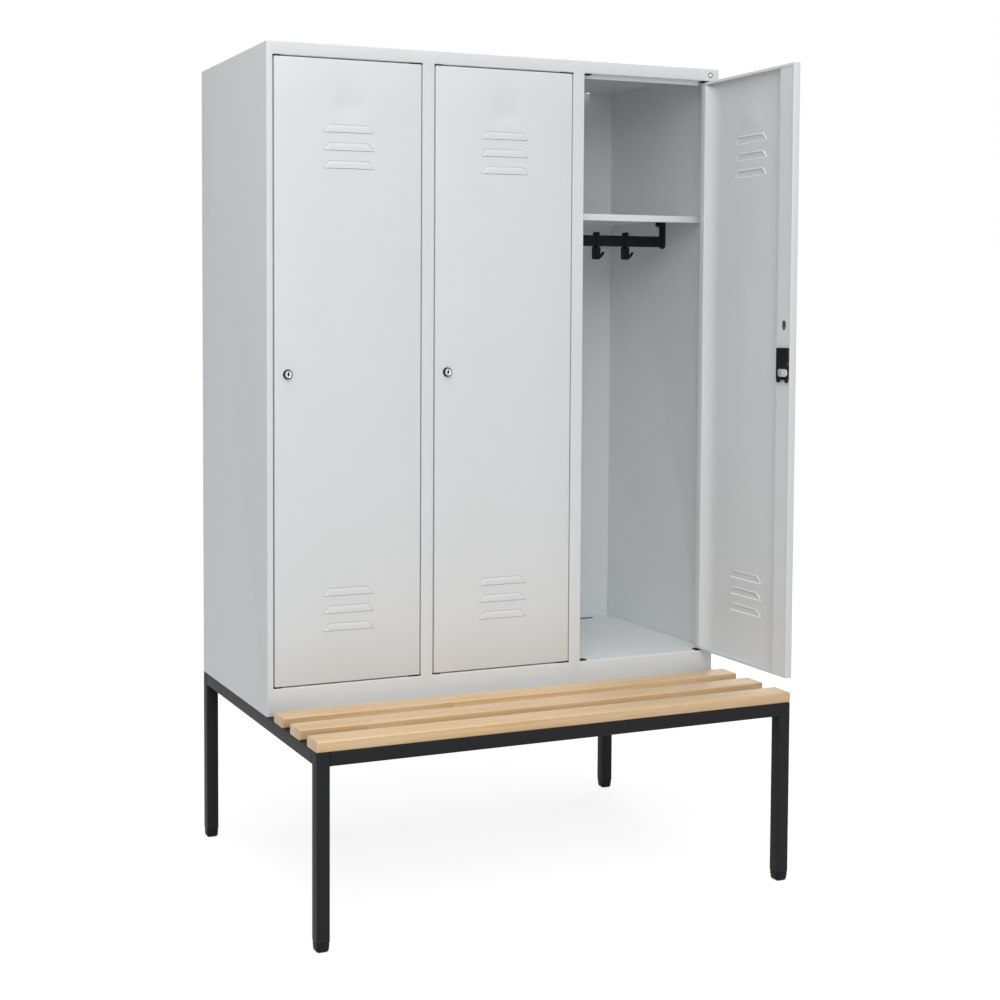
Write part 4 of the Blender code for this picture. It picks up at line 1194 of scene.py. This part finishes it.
class LOCKER_OT_underframe(bpy.types.Operator):
    """Draw the square tubes of the posts and rails, and mould the feet"""
    bl_idname = "locker.underframe"
    bl_label = "Underframe"

    def execute(self, context):
        sizes = context.scene.locker_sizes
        for name in NODES:
            if name.startswith("leg_"):
                self.tube(name, 2, sizes)
                self.foot(name.replace("leg", "foot"))
        for name in ("front_rail", "middle_rail", "rear_rail"):
            self.tube(name, 0, sizes)
        for name in ("left_rail", "right_rail"):
            self.tube(name, 1, sizes)
        return {"FINISHED"}

    def tube(self, name, axis, sizes):
        low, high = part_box(name)
        bm = bmesh.new()
        soften(bm, edges_along(block(bm, low, high), axis), sizes.tube_corner, segments=4)
        if axis == 2:
            soften(bm, edges_at(bm, 2, high.z), mm(0.7), segments=2)
        piece(f"tube_{name}", bm, "anthracite_paint", "root", [name])

    def foot(self, name):
        """A cap with a round sole and a waist where it meets its post."""
        low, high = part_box(name)
        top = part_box(name.replace("foot", "leg"))[0].z
        crown, inset = top - mm(1.5), mm(1)
        bm = bmesh.new()
        cap = block(bm, low, (high.x, high.y, crown))
        soften(bm, edges_along(cap, 2), mm(8), segments=8)
        soften(bm, edges_at(bm, 2, low.z), mm(7.0), segments=6)
        soften(bm, edges_at(bm, 2, crown), mm(1.0))
        neck = block(bm, (low.x + inset, low.y + inset, low.z + mm(12)),
                     (high.x - inset, high.y - inset, top - mm(0.1)))
        soften(bm, edges_along(neck, 2), mm(1.5))
        piece(f"cap_{name}", bm, "black_plastic", "root", [name])


class LOCKER_OT_bench(bpy.types.Operator):
    """Plane the bench's slats, with soft edges"""
    bl_idname = "locker.bench"
    bl_label = "Bench slats"

    def execute(self, context):
        sizes = context.scene.locker_sizes
        for name in ("slat_front", "slat_middle", "slat_rear"):
            low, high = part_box(name)
            bm = bmesh.new()
            soften(bm, edges_along(block(bm, low, high), 0), sizes.slat_edge, segments=5)
            soften(bm, edges_at(bm, 0, low.x) + edges_at(bm, 0, high.x), mm(1.6))
            piece(f"bench_{name}", bm, "lacquered_beech", "root", [name])
        return {"FINISHED"}


class LOCKER_OT_header_cap(bpy.types.Operator):
    """Press a bare round cap into the header's right end"""
    bl_idname = "locker.header_cap"
    bl_label = "Header cap"

    def execute(self, context):
        from_right = mm(25)
        spot = (RIGHT - from_right, FRONT, (LINTEL + TOP) / 2)
        outward = Matrix.Translation(spot) @ Matrix.Rotation(math.pi / 2, 4, "X")
        forms = {"header_cap_rim": ("black_plastic", [(5.0, -0.2), (5.1, 0.7), (5.5, 1.1), (6.0, 1.1),
                                                      (6.4, 0.7), (6.6, -0.5)]),
                 "header_cap": ("zinc", [(0, 0.75), (2.4, 0.70), (4.4, 0.50), (5.1, -0.2)])}
        for name, (slot, profile) in forms.items():
            bm = bmesh.new()
            place_verts(bm, turned(bm, profile), outward)
            piece(name, bm, slot, "root")
        return {"FINISHED"}


class LOCKER_PT_panel(bpy.types.Panel):
    """Lists the pieces and their sizes"""
    bl_idname = "LOCKER_PT_panel"
    bl_label = "Locker with bench"
    bl_space_type = "VIEW_3D"
    bl_region_type = "UI"
    bl_category = "Locker"

    def draw(self, context):
        for step in STEPS:
            self.layout.operator(step.bl_idname)
        for group in (context.scene.locker_sizes, context.scene.locker_finishes,
                      context.scene.locker_stage):
            box = self.layout.box()
            for name in group.bl_rna.properties.keys():
                if name not in ("rna_type", "name"):
                    box.prop(group, name)


GROUPS = {"locker_finishes": LockerFinishes, "locker_sizes": LockerSizes,
          "locker_stage": LockerStage}
STEPS = (LOCKER_OT_stage, LOCKER_OT_carcass, LOCKER_OT_inner_sheets, LOCKER_OT_shelves,
         LOCKER_OT_doors, LOCKER_OT_locks, LOCKER_OT_hinges, LOCKER_OT_coat_rails,
         LOCKER_OT_underframe, LOCKER_OT_bench, LOCKER_OT_header_cap)
CLASSES = (*GROUPS.values(), *STEPS, LOCKER_PT_panel)


def register():
    for made in CLASSES:
        bpy.utils.register_class(made)
    for name, group in GROUPS.items():
        setattr(bpy.types.Scene, name, PointerProperty(type=group))


def unregister():
    for name in GROUPS:
        delattr(bpy.types.Scene, name)
    for made in reversed(CLASSES):
        bpy.utils.unregister_class(made)


def main():
    register()
    bpy.ops.locker.stage()
    bpy.ops.locker.carcass()
    bpy.ops.locker.inner_sheets()
    bpy.ops.locker.shelves()
    bpy.ops.locker.doors()
    bpy.ops.locker.locks()
    bpy.ops.locker.hinges()
    bpy.ops.locker.coat_rails()
    bpy.ops.locker.underframe()
    bpy.ops.locker.bench()
    bpy.ops.locker.header_cap()


if __name__ == "__main__":
    main()
